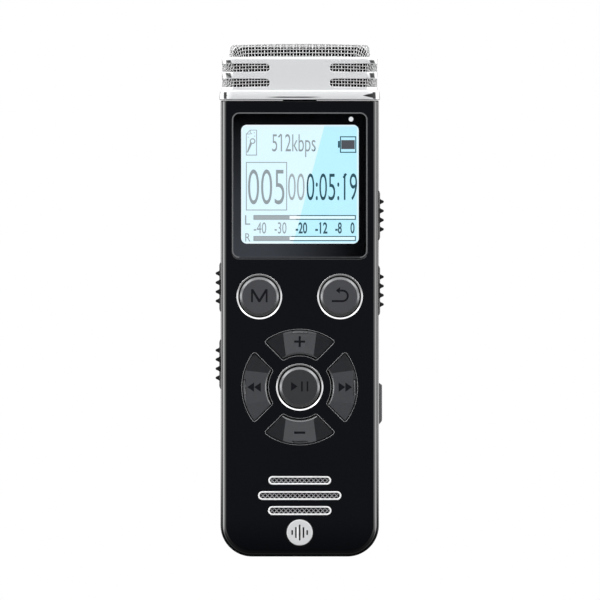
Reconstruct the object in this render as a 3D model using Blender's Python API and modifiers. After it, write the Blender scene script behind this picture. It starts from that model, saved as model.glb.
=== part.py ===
"""Handheld stereo voice recorder, modelled as an assembly of separate pieces.

The frame is in metres with +Z up towards the microphones.  -Y is the front, where the
display is, and +X is the right-hand side as seen from the front.  The origin is the
middle of the bottom end.  Every length below is in millimetres, and the helpers that
make geometry turn millimetres into metres.

A span is a (low, high) pair along one axis.  A piece that is pressed or slid has its
own origin on the line it moves along.
"""
import math

import bmesh
import bpy

MM = 0.001

# Body outline, seen from the front
BODY_HALF_WIDTH = 15.85
BODY_TOP = 91.2
BODY_CORNER = 6.3
TOP_CORNER = 1.0
BODY_WALL = 1.2
SHELL_STEP = 0.5
SHELL_TOP = 91.1
GAP = 0.1

# Layers through the body, front to back
PANEL_SPAN = (-5.3, -4.3)
LIP_SPAN = (-4.5, -3.2)
FRAME_SPAN = (-4.2, 4.2)
BOARD_SPAN = (-1.2, -0.4)
COVER_SPAN = (4.3, 5.75)
COVER_INNER = 4.65
THROUGH = (-8.0, 8.0)

# Edge rounding and lip
PANEL_EDGE = 0.75
COVER_EDGE = 1.0
FRAME_EDGE = 0.45
LIP_GAP, LIP_THICKNESS = 0.15, 0.8

# Display
WINDOW_HALF_WIDTH = 13.43
WINDOW_HEIGHTS = (59.6, 88.7)
WINDOW_CORNER = 1.35
WINDOW_SPAN = (-5.26, -4.72)
SEAT_CLEARANCE = 0.12
OPENING_HALF_WIDTH = 12.2
OPENING_HEIGHTS = (62.2, 86.6)
GLASS_HALF_WIDTH = 13.0
GLASS_HEIGHTS = (60.6, 86.85)
GLASS_SPAN = (-4.15, -3.1)
BACK_LIGHT_LOW = 60.0
BACK_LIGHT_SPAN = (-3.0, -1.6)
RIBBON_HALF_WIDTH, RIBBON_THICKNESS = 6.0, 0.12
RIBBON_FOLD_Y, RIBBON_FOLD_Z, RIBBON_FOLD = -2.5, 59.3, 1.1
RIBBON_HEIGHTS = (60.35, 62.5)
LIGHT_X, LIGHT_Z, LIGHT_RADIUS = 10.27, 87.5, 0.5

# Round buttons, their trim rings and the switches under every front control.
# Heights are measured forwards from the middle of the body.
PAIR_X, PAIR_Z = 8.07, 52.0
PLAY_Z = 33.9
BUTTONS = {
    "menu": {"x": -PAIR_X, "z": PAIR_Z, "cap": 3.975, "ring": 4.625},
    "return": {"x": PAIR_X, "z": PAIR_Z, "cap": 3.975, "ring": 4.625},
    "play": {"x": 0.0, "z": PLAY_Z, "cap": 4.1, "ring": 4.8},
}
BUTTON_FACE = 5.75
BUTTON_CHAMFER = (0.6, 0.45)
BUTTON_TRAVEL = 0.3
RETAINER_HEIGHTS = (3.1, 3.55)
RETAINER_STEP = 0.75
STEM_RADIUS, STEM_TIP = 1.0, 2.15
RING_WIDTH = 0.43
RING_CREST, RING_LOW_LIP = 5.45, 5.05
RING_FOOT_STEP = 0.6
RING_FOOT_HEIGHTS = (3.85, 4.2)
SWITCH_DOME = STEM_TIP - BUTTON_TRAVEL - 0.07
SWITCH_DOME_RADIUS, SWITCH_RADIUS = 1.1, 1.9
SWITCH_HEIGHTS = (1.25, 1.6)

# Sector keys round the play button: direction in degrees
KEYS = {"forward": 0, "plus": 90, "rewind": 180, "minus": 270}
KEY_INNER, KEY_OUTER = 6.52, 11.3
KEY_SIDE_OFFSET = 1.65
KEY_CLEARANCE = 0.27
KEY_SPAN = (-5.55, -3.9)
KEY_EDGE = 0.15
KEY_FLANGE_SPAN = (-4.15, -3.7)
KEY_FLANGE_STEP = 0.7
KEY_STEM_REACH = 8.9
KEY_STEM_RADIUS = 0.9

# Loudspeaker grille: height up the body, length and height of each rim
RIMS = {
    "grille_rim_top": (15.24, 12.7, 1.86),
    "grille_rim_middle": (12.2, 16.8, 1.9),
    "grille_rim_bottom": (9.2, 12.8, 1.95),
}
RIM_WIDTH = 0.4
RIM_SPAN = (-5.42, -4.35)
GRILLE_MESH_SPAN = (-4.2, -4.05)
GASKET_SPAN = (-3.95, -3.5)
SPEAKER_SPAN = (-3.4, -1.4)
SPEAKER_DISH = -2.9

# Badge
BADGE_Z, BADGE_RADIUS = 4.84, 2.6
BADGE_SPAN = (-5.4, -5.05)
BADGE_SEAT = -4.95

# Side controls: side (-1 left, +1 right) and middle height
SLIDERS = {
    "record": (-1, 53.9),
    "power": (-1, 38.5),
    "hold": (1, 68.25),
    "mode": (1, 53.2),
}
SLIDER_TRAVEL = 2.0
SLIDER_LENGTH, SLIDER_HALF_DEPTH = 9.8, 1.7
SLIDER_FOOT, SLIDER_BASE, SLIDER_TIP = 15.95, 16.2, 16.85
RIDGE_PITCH, RIDGE_COUNT = 1.85, 4
RIDGE_HALF_FOOT, RIDGE_HALF_TIP = 0.62, 0.28
NECK_HALF_DEPTH, NECK_HALF_LENGTH = 0.9, 1.5
NECK_DEPTH_GAP, NECK_LENGTH_GAP = 0.15, 0.2
FINGER_SPAN, FINGER_HALF_LENGTH = (0.25, 0.75), 0.5
SWITCH_BODY_SPAN = (-0.25, 1.35)
SIDE_KEY_Z, SIDE_KEY_HALF_LENGTH, SIDE_KEY_HALF_DEPTH = 30.6, 4.1, 1.4
SIDE_KEY_FACE, SIDE_KEY_SHOULDER, SIDE_KEY_FOOT = 16.5, 16.0, 14.4
SIDE_KEY_LOW_CHAMFER, SIDE_KEY_HIGH_CHAMFER = 0.7, 0.4
SIDE_KEY_GAP = 0.2

# Microphone head
HEAD_Y = 0.075
FLANGE_HALF_WIDTH, FLANGE_HALF_DEPTH, FLANGE_CORNER = 16.05, 5.675, 2.6
FLANGE_HEIGHTS = (91.4, 93.2)
CAP_HALF_WIDTH, CAP_HALF_DEPTH, CAP_CORNER = 15.55, 5.2, 2.3
CAP_HEIGHTS = (92.4, 99.95)
CAP_WALL, CAP_ROOF = 0.6, 0.65
CAP_EDGE, FLANGE_EDGE = 0.55, 0.4
SLOT_HEIGHTS = ((93.9, 95.55), (96.95, 98.55))
SLOT_INNER_END, SLOT_REACH = 6.0, 12.0
DOME_HALF_WIDTH, DOME_HALF_DEPTH, DOME_CORNER = 14.05, 3.75, 1.75
DOME_TOP, DOME_EDGE = 102.6, 1.6
MOUTH_GAP = 0.25
SKIRT_GAP, SKIRT_LOW = 0.2, 93.5
MESH_THICKNESS = 0.35
BULGE_INNER_END = 6.9
FOAM_HALF_WIDTH, FOAM_HALF_DEPTH = 13.4, 3.1
FOAM_HEIGHTS = (93.7, 101.9)
FOAM_SIDE_WALL, FOAM_FRONT_WALL, FOAM_EDGE = 1.0, 0.65, 1.0
CARRIER_HALF_WIDTH, CARRIER_HALF_DEPTH = 13.9, 3.7
CARRIER_HEIGHTS = (91.5, 93.2)
PLUG_HALF_WIDTH, PLUG_HALF_DEPTH, PLUG_LOW, PLUG_GAP = 3.4, 1.4, 89.5, 0.3
POST_SPAN, POST_HALF_DEPTH, POST_TOP = (8.9, 9.7), 1.5, 97.5
MIC_Z, MIC_RADIUS = 97.3, 1.8
MIC_REACH = (10.3, 12.0)
BOOT_REACH = (9.9, 12.1)
BOOT_INNER, BOOT_OUTER, BOOT_FLOOR = 1.92, 2.2, 10.2

# Fasteners through the rear cover
SCREW_X = 12.4
SCREW_HEIGHTS = {"low": 10.5, "high": 87.6}
SIDE_NAMES = {-1: "left", 1: "right"}
LUG_RADIUS, LUG_SPAN = 1.7, (0.2, 3.1)
PILOT_RADIUS, PILOT_DEPTH = 0.7, 1.0
BOSS_RADIUS = 1.6
SCREW_HEAD_RADIUS, SCREW_SHANK_RADIUS = 1.15, 0.55
SCREW_HEAD_TOP, SCREW_HEAD_RIM, SCREW_TIP = 5.62, 5.4, 1.3
SEAT_RADIUS, SEAT_RIM, SEAT_HOLE_RADIUS = 1.3, 5.3, 0.7

# Sockets in the bottom end
JACK_X, PORT_Y = 7.4, 1.1
JACK_HALF_WIDTH, JACK_HALF_DEPTH = 2.5, 2.2
JACK_HEIGHTS = (1.4, 12.4)
JACK_NOSE_RADIUS, JACK_NOSE_LOW, JACK_NOSE_GAP = 2.1, 0.2, 0.15
JACK_BORE_RADIUS, JACK_BORE_DEPTH = 1.8, 11.5
USB_HALF_WIDTH, USB_HALF_DEPTH = 3.75, 1.35
USB_HEIGHTS = (0.3, 5.8)
USB_WALL, USB_WINDOW_GAP = 0.3, 0.2
TONGUE_HALF_WIDTH, TONGUE_HALF_DEPTH, TONGUE_LOW = 2.5, 0.3, 1.2

# Board and battery
BOARD_HALF_WIDTH, BOARD_CORNER = 13.2, 4.6
BOARD_HEIGHTS = (1.6, 88.7)
JACK_NOTCH_GAP = 0.2
CHIPS = {
    "processor": ((-4.5, 4.5), (62.0, 71.0), 1.0),
    "memory": ((-6.0, 6.0), (74.0, 82.0), 1.1),
    "crystal": ((7.0, 9.2), (66.0, 69.2), 0.7),
}
BATTERY_HALF_WIDTH, BATTERY_CORNER = 9.6, 0.9
BATTERY_SPAN = (0.1, 4.4)
BATTERY_HEIGHTS = (16.0, 56.0)


# ---------------------------------------------------------------- scene and materials


def clear_scene():
    for obj in list(bpy.data.objects):
        bpy.data.objects.remove(obj, do_unlink=True)


def new_collection(name):
    collection = bpy.data.collections.new(name)
    bpy.context.scene.collection.children.link(collection)
    return collection


FINISHES = {
    "gloss_black": {"colour": (0.008, 0.009, 0.011), "roughness": 0.12},
    "matte_black": {"colour": (0.015, 0.015, 0.017), "roughness": 0.5},
    "satin_silver": {"colour": (0.72, 0.73, 0.74), "roughness": 0.25, "metallic": 1.0},
    "wire": {"colour": (0.6, 0.6, 0.61), "roughness": 0.3, "metallic": 1.0},
    "chrome": {"colour": (0.85, 0.86, 0.88), "roughness": 0.08, "metallic": 1.0},
    "key_grey": {"colour": (0.05, 0.053, 0.058), "roughness": 0.3},
    "window": {"colour": (0.02, 0.02, 0.022), "roughness": 0.05, "alpha": 0.6},
    "display": {"colour": (0.62, 0.84, 0.92), "roughness": 0.2},
    "back_light": {"colour": (0.85, 0.86, 0.86), "roughness": 0.5},
    "clear": {"colour": (0.9, 0.9, 0.92), "roughness": 0.1},
    "ribbon": {"colour": (0.55, 0.3, 0.08), "roughness": 0.5},
    "board": {"colour": (0.02, 0.14, 0.06), "roughness": 0.4},
    "tact": {"colour": (0.3, 0.3, 0.31), "roughness": 0.35, "metallic": 1.0},
    "switch": {"colour": (0.08, 0.08, 0.09), "roughness": 0.5},
    "battery": {"colour": (0.35, 0.38, 0.42), "roughness": 0.45},
    "speaker": {"colour": (0.03, 0.03, 0.03), "roughness": 0.6},
    "foam": {"colour": (0.02, 0.02, 0.02), "roughness": 0.95},
    "rubber": {"colour": (0.03, 0.03, 0.03), "roughness": 0.8},
    "capsule": {"colour": (0.6, 0.6, 0.58), "roughness": 0.3, "metallic": 1.0},
    "steel": {"colour": (0.45, 0.45, 0.46), "roughness": 0.3, "metallic": 1.0},
}


def material_for(name, finish):
    """A piece's own Principled material in one of the finishes."""
    look = FINISHES[finish]
    made = bpy.data.materials.new(f"{name}_{finish}")
    made.use_nodes = True
    shader = made.node_tree.nodes["Principled BSDF"]
    shader.inputs["Base Color"].default_value = (*look["colour"], 1.0)
    shader.inputs["Roughness"].default_value = look["roughness"]
    shader.inputs["Metallic"].default_value = look.get("metallic", 0.0)
    shader.inputs["Alpha"].default_value = look.get("alpha", 1.0)
    return made


# ---------------------------------------------------------------- outlines


def around(middle, half):
    """Span of the given half length about a middle."""
    return (middle - half, middle + half)


def arc(cu, cv, radius, start, end, steps=5):
    """Points along an arc, in degrees, with both ends included."""
    angles = [math.radians(start + (end - start) * i / steps) for i in range(steps + 1)]
    return [(cu + radius * math.cos(a), cv + radius * math.sin(a)) for a in angles]


def circle(cu, cv, radius, steps=28):
    return arc(cu, cv, radius, 0, 360 * (1 - 1 / steps), steps - 1)


def rounded_rectangle(half_width, span, radius, high_radius=None, steps=5):
    """Outline symmetric about u = 0, with its lower and upper corners rounded."""
    low, high = span
    top = radius if high_radius is None else high_radius
    inner, inner_top = half_width - radius, half_width - top
    return (
        arc(-inner, low + radius, radius, 180, 270, steps)
        + arc(inner, low + radius, radius, 270, 360, steps)
        + arc(inner_top, high - top, top, 0, 90, steps)
        + arc(-inner_top, high - top, top, 90, 180, steps)
    )


def body_outline(inset, top):
    """The body's outline moved inwards, ending at the given height."""
    high_radius = max(TOP_CORNER - inset, 0.3)
    half_width, radius = BODY_HALF_WIDTH - inset, BODY_CORNER - inset
    return rounded_rectangle(half_width, (inset, top), radius, high_radius, steps=6)


def inner_outline(gap):
    """Outline that keeps the given gap to the inside of the frame's walls."""
    return body_outline(BODY_WALL + gap, BODY_TOP - BODY_WALL - gap)


def stadium(cu, cv, length, height, steps=6):
    """Slot shape with half-round ends."""
    radius = height / 2
    reach = length / 2 - radius
    right = arc(cu + reach, cv, radius, -90, 90, steps)
    return right + arc(cu - reach, cv, radius, 90, 270, steps)


def sector(inner, outer, side_offset, direction):
    """Quarter of a ring round the play button, pointing along direction in degrees.

    Its straight sides keep a fixed distance from the diagonals.
    """
    half_outer = 45 - math.degrees(math.asin(side_offset / outer))
    half_inner = 45 - math.degrees(math.asin(side_offset / inner))
    outside = arc(0, PLAY_Z, outer, direction - half_outer, direction + half_outer, 8)
    inside = arc(0, PLAY_Z, inner, direction + half_inner, direction - half_inner, 5)
    return outside + inside


def head_outline(half_width, half_depth, radius):
    """Plan of the microphone head, seen from above."""
    return rounded_rectangle(half_width, around(HEAD_Y, half_depth), radius, steps=4)


# ---------------------------------------------------------------- solids

AXIS_TURN = {
    "X": (math.pi / 2, 0, math.pi / 2),
    "Y": (math.pi / 2, 0, 0),
    "Z": (0, 0, 0),
}
FACING_FRONT = (math.pi / 2, 0, 0)
FACING_BACK = (-math.pi / 2, 0, 0)


class Workshop:
    """Makes solids, and keeps the parts and the cutters in their collections."""

    def __init__(self):
        self.parts = new_collection("voice_recorder")
        self.cutters = new_collection("voice_recorder_cutters")

    def add(self, obj, finish=None):
        self.parts.objects.link(obj)
        if finish:
            obj.data.materials.append(material_for(obj.name, finish))
        return obj

    def prism(self, name, outlines, span, finish=None, axis="Y", origin=(0, 0)):
        """Flat outlines filled and pushed along an axis over a span.

        An outline inside another one is a hole.  The outlines' (u, v) run along
        (x, z) for axis Y, (x, y) for axis Z and (y, z) for axis X.
        """
        curve = bpy.data.curves.new(name, "CURVE")
        curve.dimensions = "2D"
        curve.fill_mode = "BOTH"
        curve.extrude = (span[1] - span[0]) / 2 * MM
        for outline in outlines:
            spline = curve.splines.new("POLY")
            spline.points.add(len(outline) - 1)
            for point, (u, v) in zip(spline.points, outline):
                point.co = ((u - origin[0]) * MM, (v - origin[1]) * MM, 0, 1)
            spline.use_cyclic_u = True
        obj = self.add(bpy.data.objects.new(name, curve))
        obj.rotation_euler = AXIS_TURN[axis]
        places = list(origin)
        places.insert("XYZ".index(axis), sum(span) / 2)
        obj.location = [place * MM for place in places]
        return self.as_mesh(obj, finish)

    def turned(self, name, profile, place, turn, finish=None, steps=28, closed=False):
        """Profile of (radius, height) points spun about its own upright axis.

        The profile runs down the outer side, and turn aims the upright axis.  Height
        then runs towards the front for FACING_FRONT and the back for FACING_BACK.
        """
        bm = bmesh.new()
        verts = [bm.verts.new((r * MM, 0, h * MM)) for r, h in profile]
        followers = verts[1:] + (verts[:1] if closed else [])
        for a, b in zip(verts, followers):
            bm.edges.new((a, b))
        mesh = bpy.data.meshes.new(name)
        bm.to_mesh(mesh)
        bm.free()
        obj = self.add(bpy.data.objects.new(name, mesh))
        obj.location = [p * MM for p in place]
        obj.rotation_euler = turn
        screw = obj.modifiers.new("Turn", "SCREW")
        screw.steps = screw.render_steps = steps
        screw.use_merge_vertices = True
        screw.merge_threshold = 1e-6
        return smooth(self.as_mesh(obj, finish))

    def box(self, name, x_span, y_span, z_span, finish=None, side=1):
        """Block with its origin in its middle, mirrored to the left when side is -1."""
        spans = (sorted(side * x for x in x_span), y_span, z_span)
        bm = bmesh.new()
        bmesh.ops.create_cube(bm, size=1.0)
        size = [(high - low) * MM for low, high in spans]
        bmesh.ops.scale(bm, vec=size, verts=bm.verts)
        mesh = bpy.data.meshes.new(name)
        bm.to_mesh(mesh)
        bm.free()
        obj = self.add(bpy.data.objects.new(name, mesh), finish)
        obj.location = [(low + high) / 2 * MM for low, high in spans]
        return obj

    def as_mesh(self, obj, finish):
        """Turn an object and its modifiers into a welded mesh in the same place."""
        graph = bpy.context.evaluated_depsgraph_get()
        graph.update()
        mesh = bpy.data.meshes.new_from_object(obj.evaluated_get(graph))
        bm = bmesh.new()
        bm.from_mesh(mesh)
        bmesh.ops.remove_doubles(bm, verts=bm.verts, dist=1e-7)
        bmesh.ops.recalc_face_normals(bm, faces=bm.faces)
        flat = math.radians(0.5)
        bmesh.ops.dissolve_limit(bm, angle_limit=flat, verts=bm.verts, edges=bm.edges)
        bm.to_mesh(mesh)
        bm.free()
        name, placed = obj.name, obj.matrix_world.copy()
        bpy.data.objects.remove(obj, do_unlink=True)
        mesh.materials.clear()
        solid = self.add(bpy.data.objects.new(name, mesh), finish)
        solid.matrix_world = placed
        return solid

    def combine(self, obj, tool, operation):
        """Boolean with a tool, which then leaves the parts for the cutters."""
        modifier = obj.modifiers.new(tool.name, "BOOLEAN")
        modifier.operation = operation
        modifier.object = tool
        self.parts.objects.unlink(tool)
        self.cutters.objects.link(tool)
        tool.hide_render = True
        tool.display_type = "WIRE"

    def cut(self, obj, *tools):
        for tool in tools:
            self.combine(obj, tool, "DIFFERENCE")

    def join(self, obj, *tools):
        for tool in tools:
            self.combine(obj, tool, "UNION")


def round_edges(obj, radius, segments=1, end=1):
    """Round a prism's edges at one end: 1 is its front or top, -1 its back or foot."""
    bm = bmesh.new()
    bm.from_mesh(obj.data)
    level = max(end * v.co.z for v in bm.verts)
    chosen = {v for v in bm.verts if abs(end * v.co.z - level) < 1e-7}
    edges = []
    for edge in bm.edges:
        at_level = edge.verts[0] in chosen and edge.verts[1] in chosen
        if at_level and edge.calc_face_angle() > math.radians(30):
            edges.append(edge)
    bmesh.ops.bevel(
        bm, geom=edges, offset=radius * MM, segments=segments, profile=0.5, affect="EDGES"
    )
    bm.to_mesh(obj.data)
    bm.free()


def smooth(obj):
    obj.data.shade_smooth()
    obj.data.set_sharp_from_angle(angle=math.radians(30))
    return obj


# ---------------------------------------------------------------- housing


def panel_openings():
    """Every opening that goes right through the front panel."""
    holes = [circle(LIGHT_X, LIGHT_Z, LIGHT_RADIUS + 0.15, 12)]
    holes.append(rounded_rectangle(OPENING_HALF_WIDTH, OPENING_HEIGHTS, 0.6, steps=3))
    for button in BUTTONS.values():
        holes.append(circle(button["x"], button["z"], button["ring"] + GAP))
    for direction in KEYS.values():
        inner, outer = KEY_INNER - KEY_CLEARANCE, KEY_OUTER + KEY_CLEARANCE
        holes.append(sector(inner, outer, KEY_SIDE_OFFSET - KEY_CLEARANCE, direction))
    for z, length, height in RIMS.values():
        holes.append(stadium(0, z, length + 2 * GAP, height + 2 * GAP))
    return holes


def make_front_shell(shop):
    """Gloss panel with rounded edges, a lip that sits inside the frame, and openings."""
    outline = body_outline(SHELL_STEP, SHELL_TOP)
    shell = shop.prism("front_shell", [outline], PANEL_SPAN, "gloss_black")
    round_edges(shell, PANEL_EDGE, segments=3)
    lip_outlines = [inner_outline(LIP_GAP), inner_outline(LIP_GAP + LIP_THICKNESS)]
    shop.join(shell, shop.prism("panel_lip", lip_outlines, LIP_SPAN))
    low, high = WINDOW_HEIGHTS
    seat_outline = rounded_rectangle(
        WINDOW_HALF_WIDTH + SEAT_CLEARANCE,
        (low - SEAT_CLEARANCE, high + SEAT_CLEARANCE),
        WINDOW_CORNER + SEAT_CLEARANCE,
    )
    seat = shop.prism("window_seat", [seat_outline], (THROUGH[0], WINDOW_SPAN[1] + GAP))
    openings = shop.prism("panel_openings", panel_openings(), (THROUGH[0], LIP_SPAN[1]))
    badge_outline = circle(0, BADGE_Z, BADGE_RADIUS + GAP)
    badge_seat = shop.prism("badge_seat", [badge_outline], (THROUGH[0], BADGE_SEAT))
    shop.cut(shell, seat, openings, badge_seat)


def make_lug(shop, frame, side, level):
    """Lug on the frame's wall that takes a screw of the rear cover."""
    z = SCREW_HEIGHTS[level]
    name = f"lug_{SIDE_NAMES[side]}_{level}"
    lug = shop.prism(name, [circle(side * SCREW_X, z, LUG_RADIUS, 12)], LUG_SPAN)
    web_x = (SCREW_X, BODY_HALF_WIDTH - BODY_WALL / 2)
    web_y = (LUG_SPAN[0] + 2 * GAP, LUG_SPAN[1] - 2 * GAP)
    web = shop.box(name + "_web", web_x, web_y, around(z, LUG_RADIUS - 0.6), side=side)
    shop.join(frame, lug, web)
    pilot = [circle(side * SCREW_X, z, PILOT_RADIUS, 12)]
    shop.cut(frame, shop.prism(name + "_pilot", pilot, (PILOT_DEPTH, THROUGH[1])))


def cut_wall_windows(shop, frame):
    """Openings in the frame's walls for the side controls, the sockets and the head."""
    wall_x = (BODY_HALF_WIDTH - 2 * BODY_WALL, BODY_HALF_WIDTH + BODY_WALL)
    for name, (side, z) in SLIDERS.items():
        reach = NECK_HALF_LENGTH + NECK_LENGTH_GAP
        heights = (z - reach, z + reach + SLIDER_TRAVEL)
        depths = around(0, NECK_HALF_DEPTH + NECK_DEPTH_GAP)
        shop.cut(frame, shop.box(name + "_slot", wall_x, depths, heights, side=side))
    depths = around(0, SIDE_KEY_HALF_DEPTH + SIDE_KEY_GAP)
    heights = around(SIDE_KEY_Z, SIDE_KEY_HALF_LENGTH + SIDE_KEY_GAP)
    shop.cut(frame, shop.box("side_key_window", wall_x, depths, heights))
    floor_z = around(0, 2 * BODY_WALL)
    usb_x = around(0, USB_HALF_WIDTH + USB_WINDOW_GAP)
    usb_y = around(PORT_Y, USB_HALF_DEPTH + USB_WINDOW_GAP)
    shop.cut(frame, shop.box("usb_window", usb_x, usb_y, floor_z))
    for side, label in SIDE_NAMES.items():
        hole = circle(side * JACK_X, PORT_Y, JACK_NOSE_RADIUS + JACK_NOSE_GAP, 20)
        shop.cut(frame, shop.prism(f"jack_window_{label}", [hole], floor_z, axis="Z"))
    passage_x = around(0, PLUG_HALF_WIDTH + PLUG_GAP)
    passage_y = around(0, PLUG_HALF_DEPTH + PLUG_GAP)
    roof_z = around(BODY_TOP, 2 * BODY_WALL)
    shop.cut(frame, shop.box("cable_passage", passage_x, passage_y, roof_z))


def make_mid_frame(shop):
    """Ring of side walls with the screw lugs and every opening in the walls."""
    frame = shop.prism("mid_frame", [body_outline(0, BODY_TOP)], FRAME_SPAN, "matte_black")
    for end in (-1, 1):
        round_edges(frame, FRAME_EDGE, segments=2, end=end)
    shop.cut(frame, shop.prism("frame_cavity", [inner_outline(0)], THROUGH))
    for side in SIDE_NAMES:
        for level in SCREW_HEIGHTS:
            make_lug(shop, frame, side, level)
    cut_wall_windows(shop, frame)


def make_rear_cover(shop):
    """Back plate with a pocket inside, round its edges, and four bosses with seats."""
    outline = body_outline(SHELL_STEP, SHELL_TOP)
    cover = shop.prism("rear_cover", [outline], COVER_SPAN, "matte_black")
    round_edges(cover, COVER_EDGE, segments=3, end=-1)
    pocket_outline = inner_outline(4 * GAP)
    pocket = shop.prism("cover_pocket", [pocket_outline], (LUG_SPAN[1], COVER_INNER))
    shop.cut(cover, pocket)
    cone_low = SEAT_RIM - (SEAT_RADIUS - SEAT_HOLE_RADIUS)
    seat = [
        (0, THROUGH[1]),
        (SEAT_RADIUS, THROUGH[1]),
        (SEAT_RADIUS, SEAT_RIM),
        (SEAT_HOLE_RADIUS, cone_low),
        (SEAT_HOLE_RADIUS, PILOT_DEPTH),
        (0, PILOT_DEPTH),
    ]
    boss_span = (LUG_SPAN[1] + GAP, COVER_INNER + 2 * GAP)
    for side, label in SIDE_NAMES.items():
        for level, z in SCREW_HEIGHTS.items():
            name = f"boss_{label}_{level}"
            x = side * SCREW_X
            shop.join(cover, shop.prism(name, [circle(x, z, BOSS_RADIUS, 12)], boss_span))
            place = (x, 0, z)
            shop.cut(cover, shop.turned(name + "_seat", seat, place, FACING_BACK, steps=12))


def make_cover_screw(shop, side, level):
    """Small countersunk screw through the rear cover into a lug."""
    neck = SCREW_HEAD_RIM - (SCREW_HEAD_RADIUS - SCREW_SHANK_RADIUS)
    profile = [
        (0, SCREW_HEAD_TOP),
        (SCREW_HEAD_RADIUS, SCREW_HEAD_TOP),
        (SCREW_HEAD_RADIUS, SCREW_HEAD_RIM),
        (SCREW_SHANK_RADIUS, neck),
        (SCREW_SHANK_RADIUS, SCREW_TIP + 0.3),
        (SCREW_SHANK_RADIUS / 2, SCREW_TIP),
        (0, SCREW_TIP),
    ]
    place = (side * SCREW_X, 0, SCREW_HEIGHTS[level])
    name = f"cover_screw_{SIDE_NAMES[side]}_{level}"
    shop.turned(name, profile, place, FACING_BACK, "steel", steps=12)


# ---------------------------------------------------------------- microphone head


def make_head_cap(shop):
    """Metal sleeve with a flared base, an open top and two slots round each side."""
    outline = head_outline(CAP_HALF_WIDTH, CAP_HALF_DEPTH, CAP_CORNER)
    cap = shop.prism("head_cap", [outline], CAP_HEIGHTS, "satin_silver", axis="Z")
    round_edges(cap, CAP_EDGE, segments=2)
    outline = head_outline(FLANGE_HALF_WIDTH, FLANGE_HALF_DEPTH, FLANGE_CORNER)
    flange = shop.prism("cap_flange", [outline], FLANGE_HEIGHTS, axis="Z")
    round_edges(flange, FLANGE_EDGE, segments=2)
    shop.join(cap, flange)
    half_width, half_depth = CAP_HALF_WIDTH - CAP_WALL, CAP_HALF_DEPTH - CAP_WALL
    outline = head_outline(half_width, half_depth, CAP_CORNER - CAP_WALL)
    cavity_z = (BODY_TOP - 1, CAP_HEIGHTS[1] - CAP_ROOF)
    cavity = shop.prism("cap_cavity", [outline], cavity_z, axis="Z")
    half_width, half_depth = DOME_HALF_WIDTH + MOUTH_GAP, DOME_HALF_DEPTH + MOUTH_GAP
    outline = head_outline(half_width, half_depth, DOME_CORNER + MOUTH_GAP)
    mouth = shop.prism("cap_mouth", [outline], around(CAP_HEIGHTS[1], 1), axis="Z")
    shop.cut(cap, cavity, mouth)
    for side, label in SIDE_NAMES.items():
        for number, (low, high) in enumerate(SLOT_HEIGHTS):
            middle = side * (SLOT_INNER_END + SLOT_REACH / 2)
            slot = stadium(middle, (low + high) / 2, SLOT_REACH, high - low, steps=5)
            shop.cut(cap, shop.prism(f"cap_slot_{label}_{number}", [slot], THROUGH))
    smooth(cap)


def make_mic_mesh(shop):
    """Wire basket: a skirt inside the cap, swellings that fill its slots, and a dome."""
    skirt_width = CAP_HALF_WIDTH - CAP_WALL - SKIRT_GAP
    skirt_depth = CAP_HALF_DEPTH - CAP_WALL - SKIRT_GAP
    skirt_top = CAP_HEIGHTS[1] - CAP_ROOF - SKIRT_GAP
    outline = head_outline(skirt_width, skirt_depth, 1.5)
    basket = shop.prism("mic_mesh", [outline], (SKIRT_LOW, skirt_top), "wire", axis="Z")
    outline = head_outline(DOME_HALF_WIDTH, DOME_HALF_DEPTH, DOME_CORNER)
    dome = shop.prism("mesh_dome", [outline], (skirt_top - 0.5, DOME_TOP), axis="Z")
    round_edges(dome, DOME_EDGE, segments=3)
    shop.join(basket, dome)
    outline = head_outline(CAP_HALF_WIDTH - GAP, CAP_HALF_DEPTH - GAP, CAP_CORNER - GAP)
    for number, (low, high) in enumerate(SLOT_HEIGHTS):
        name = f"slot_bulge_{number}"
        bulge = shop.prism(name, [outline], (low + 0.12, high - 0.12), axis="Z")
        middle_x = around(0, BULGE_INNER_END)
        shop.cut(bulge, shop.box(name + "_middle", middle_x, THROUGH, (low, high)))
        shop.join(basket, bulge)
    outline = head_outline(skirt_width - MESH_THICKNESS, skirt_depth - MESH_THICKNESS, 1.2)
    cavity_z = (BODY_TOP, skirt_top - MESH_THICKNESS)
    skirt_cavity = shop.prism("skirt_cavity", [outline], cavity_z, axis="Z")
    half_width, half_depth = DOME_HALF_WIDTH - MESH_THICKNESS, DOME_HALF_DEPTH - MESH_THICKNESS
    outline = head_outline(half_width, half_depth, DOME_CORNER - MESH_THICKNESS)
    cavity_z = (skirt_top - 1.5, DOME_TOP - MESH_THICKNESS)
    dome_cavity = shop.prism("dome_cavity", [outline], cavity_z, axis="Z")
    round_edges(dome_cavity, DOME_EDGE - MESH_THICKNESS, segments=3)
    shop.cut(basket, skirt_cavity, dome_cavity)
    smooth(basket)


def make_foam_windscreen(shop):
    """Foam hood between the wire basket and the microphones."""
    outline = head_outline(FOAM_HALF_WIDTH, FOAM_HALF_DEPTH, 1.2)
    foam = shop.prism("foam_windscreen", [outline], FOAM_HEIGHTS, "foam", axis="Z")
    round_edges(foam, FOAM_EDGE, segments=2)
    half_width, half_depth = FOAM_HALF_WIDTH - FOAM_SIDE_WALL, FOAM_HALF_DEPTH - FOAM_FRONT_WALL
    hollow_z = (BODY_TOP, FOAM_HEIGHTS[1] - FOAM_SIDE_WALL)
    outline = head_outline(half_width, half_depth, 0.8)
    shop.cut(foam, shop.prism("foam_hollow", [outline], hollow_z, axis="Z"))


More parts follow.
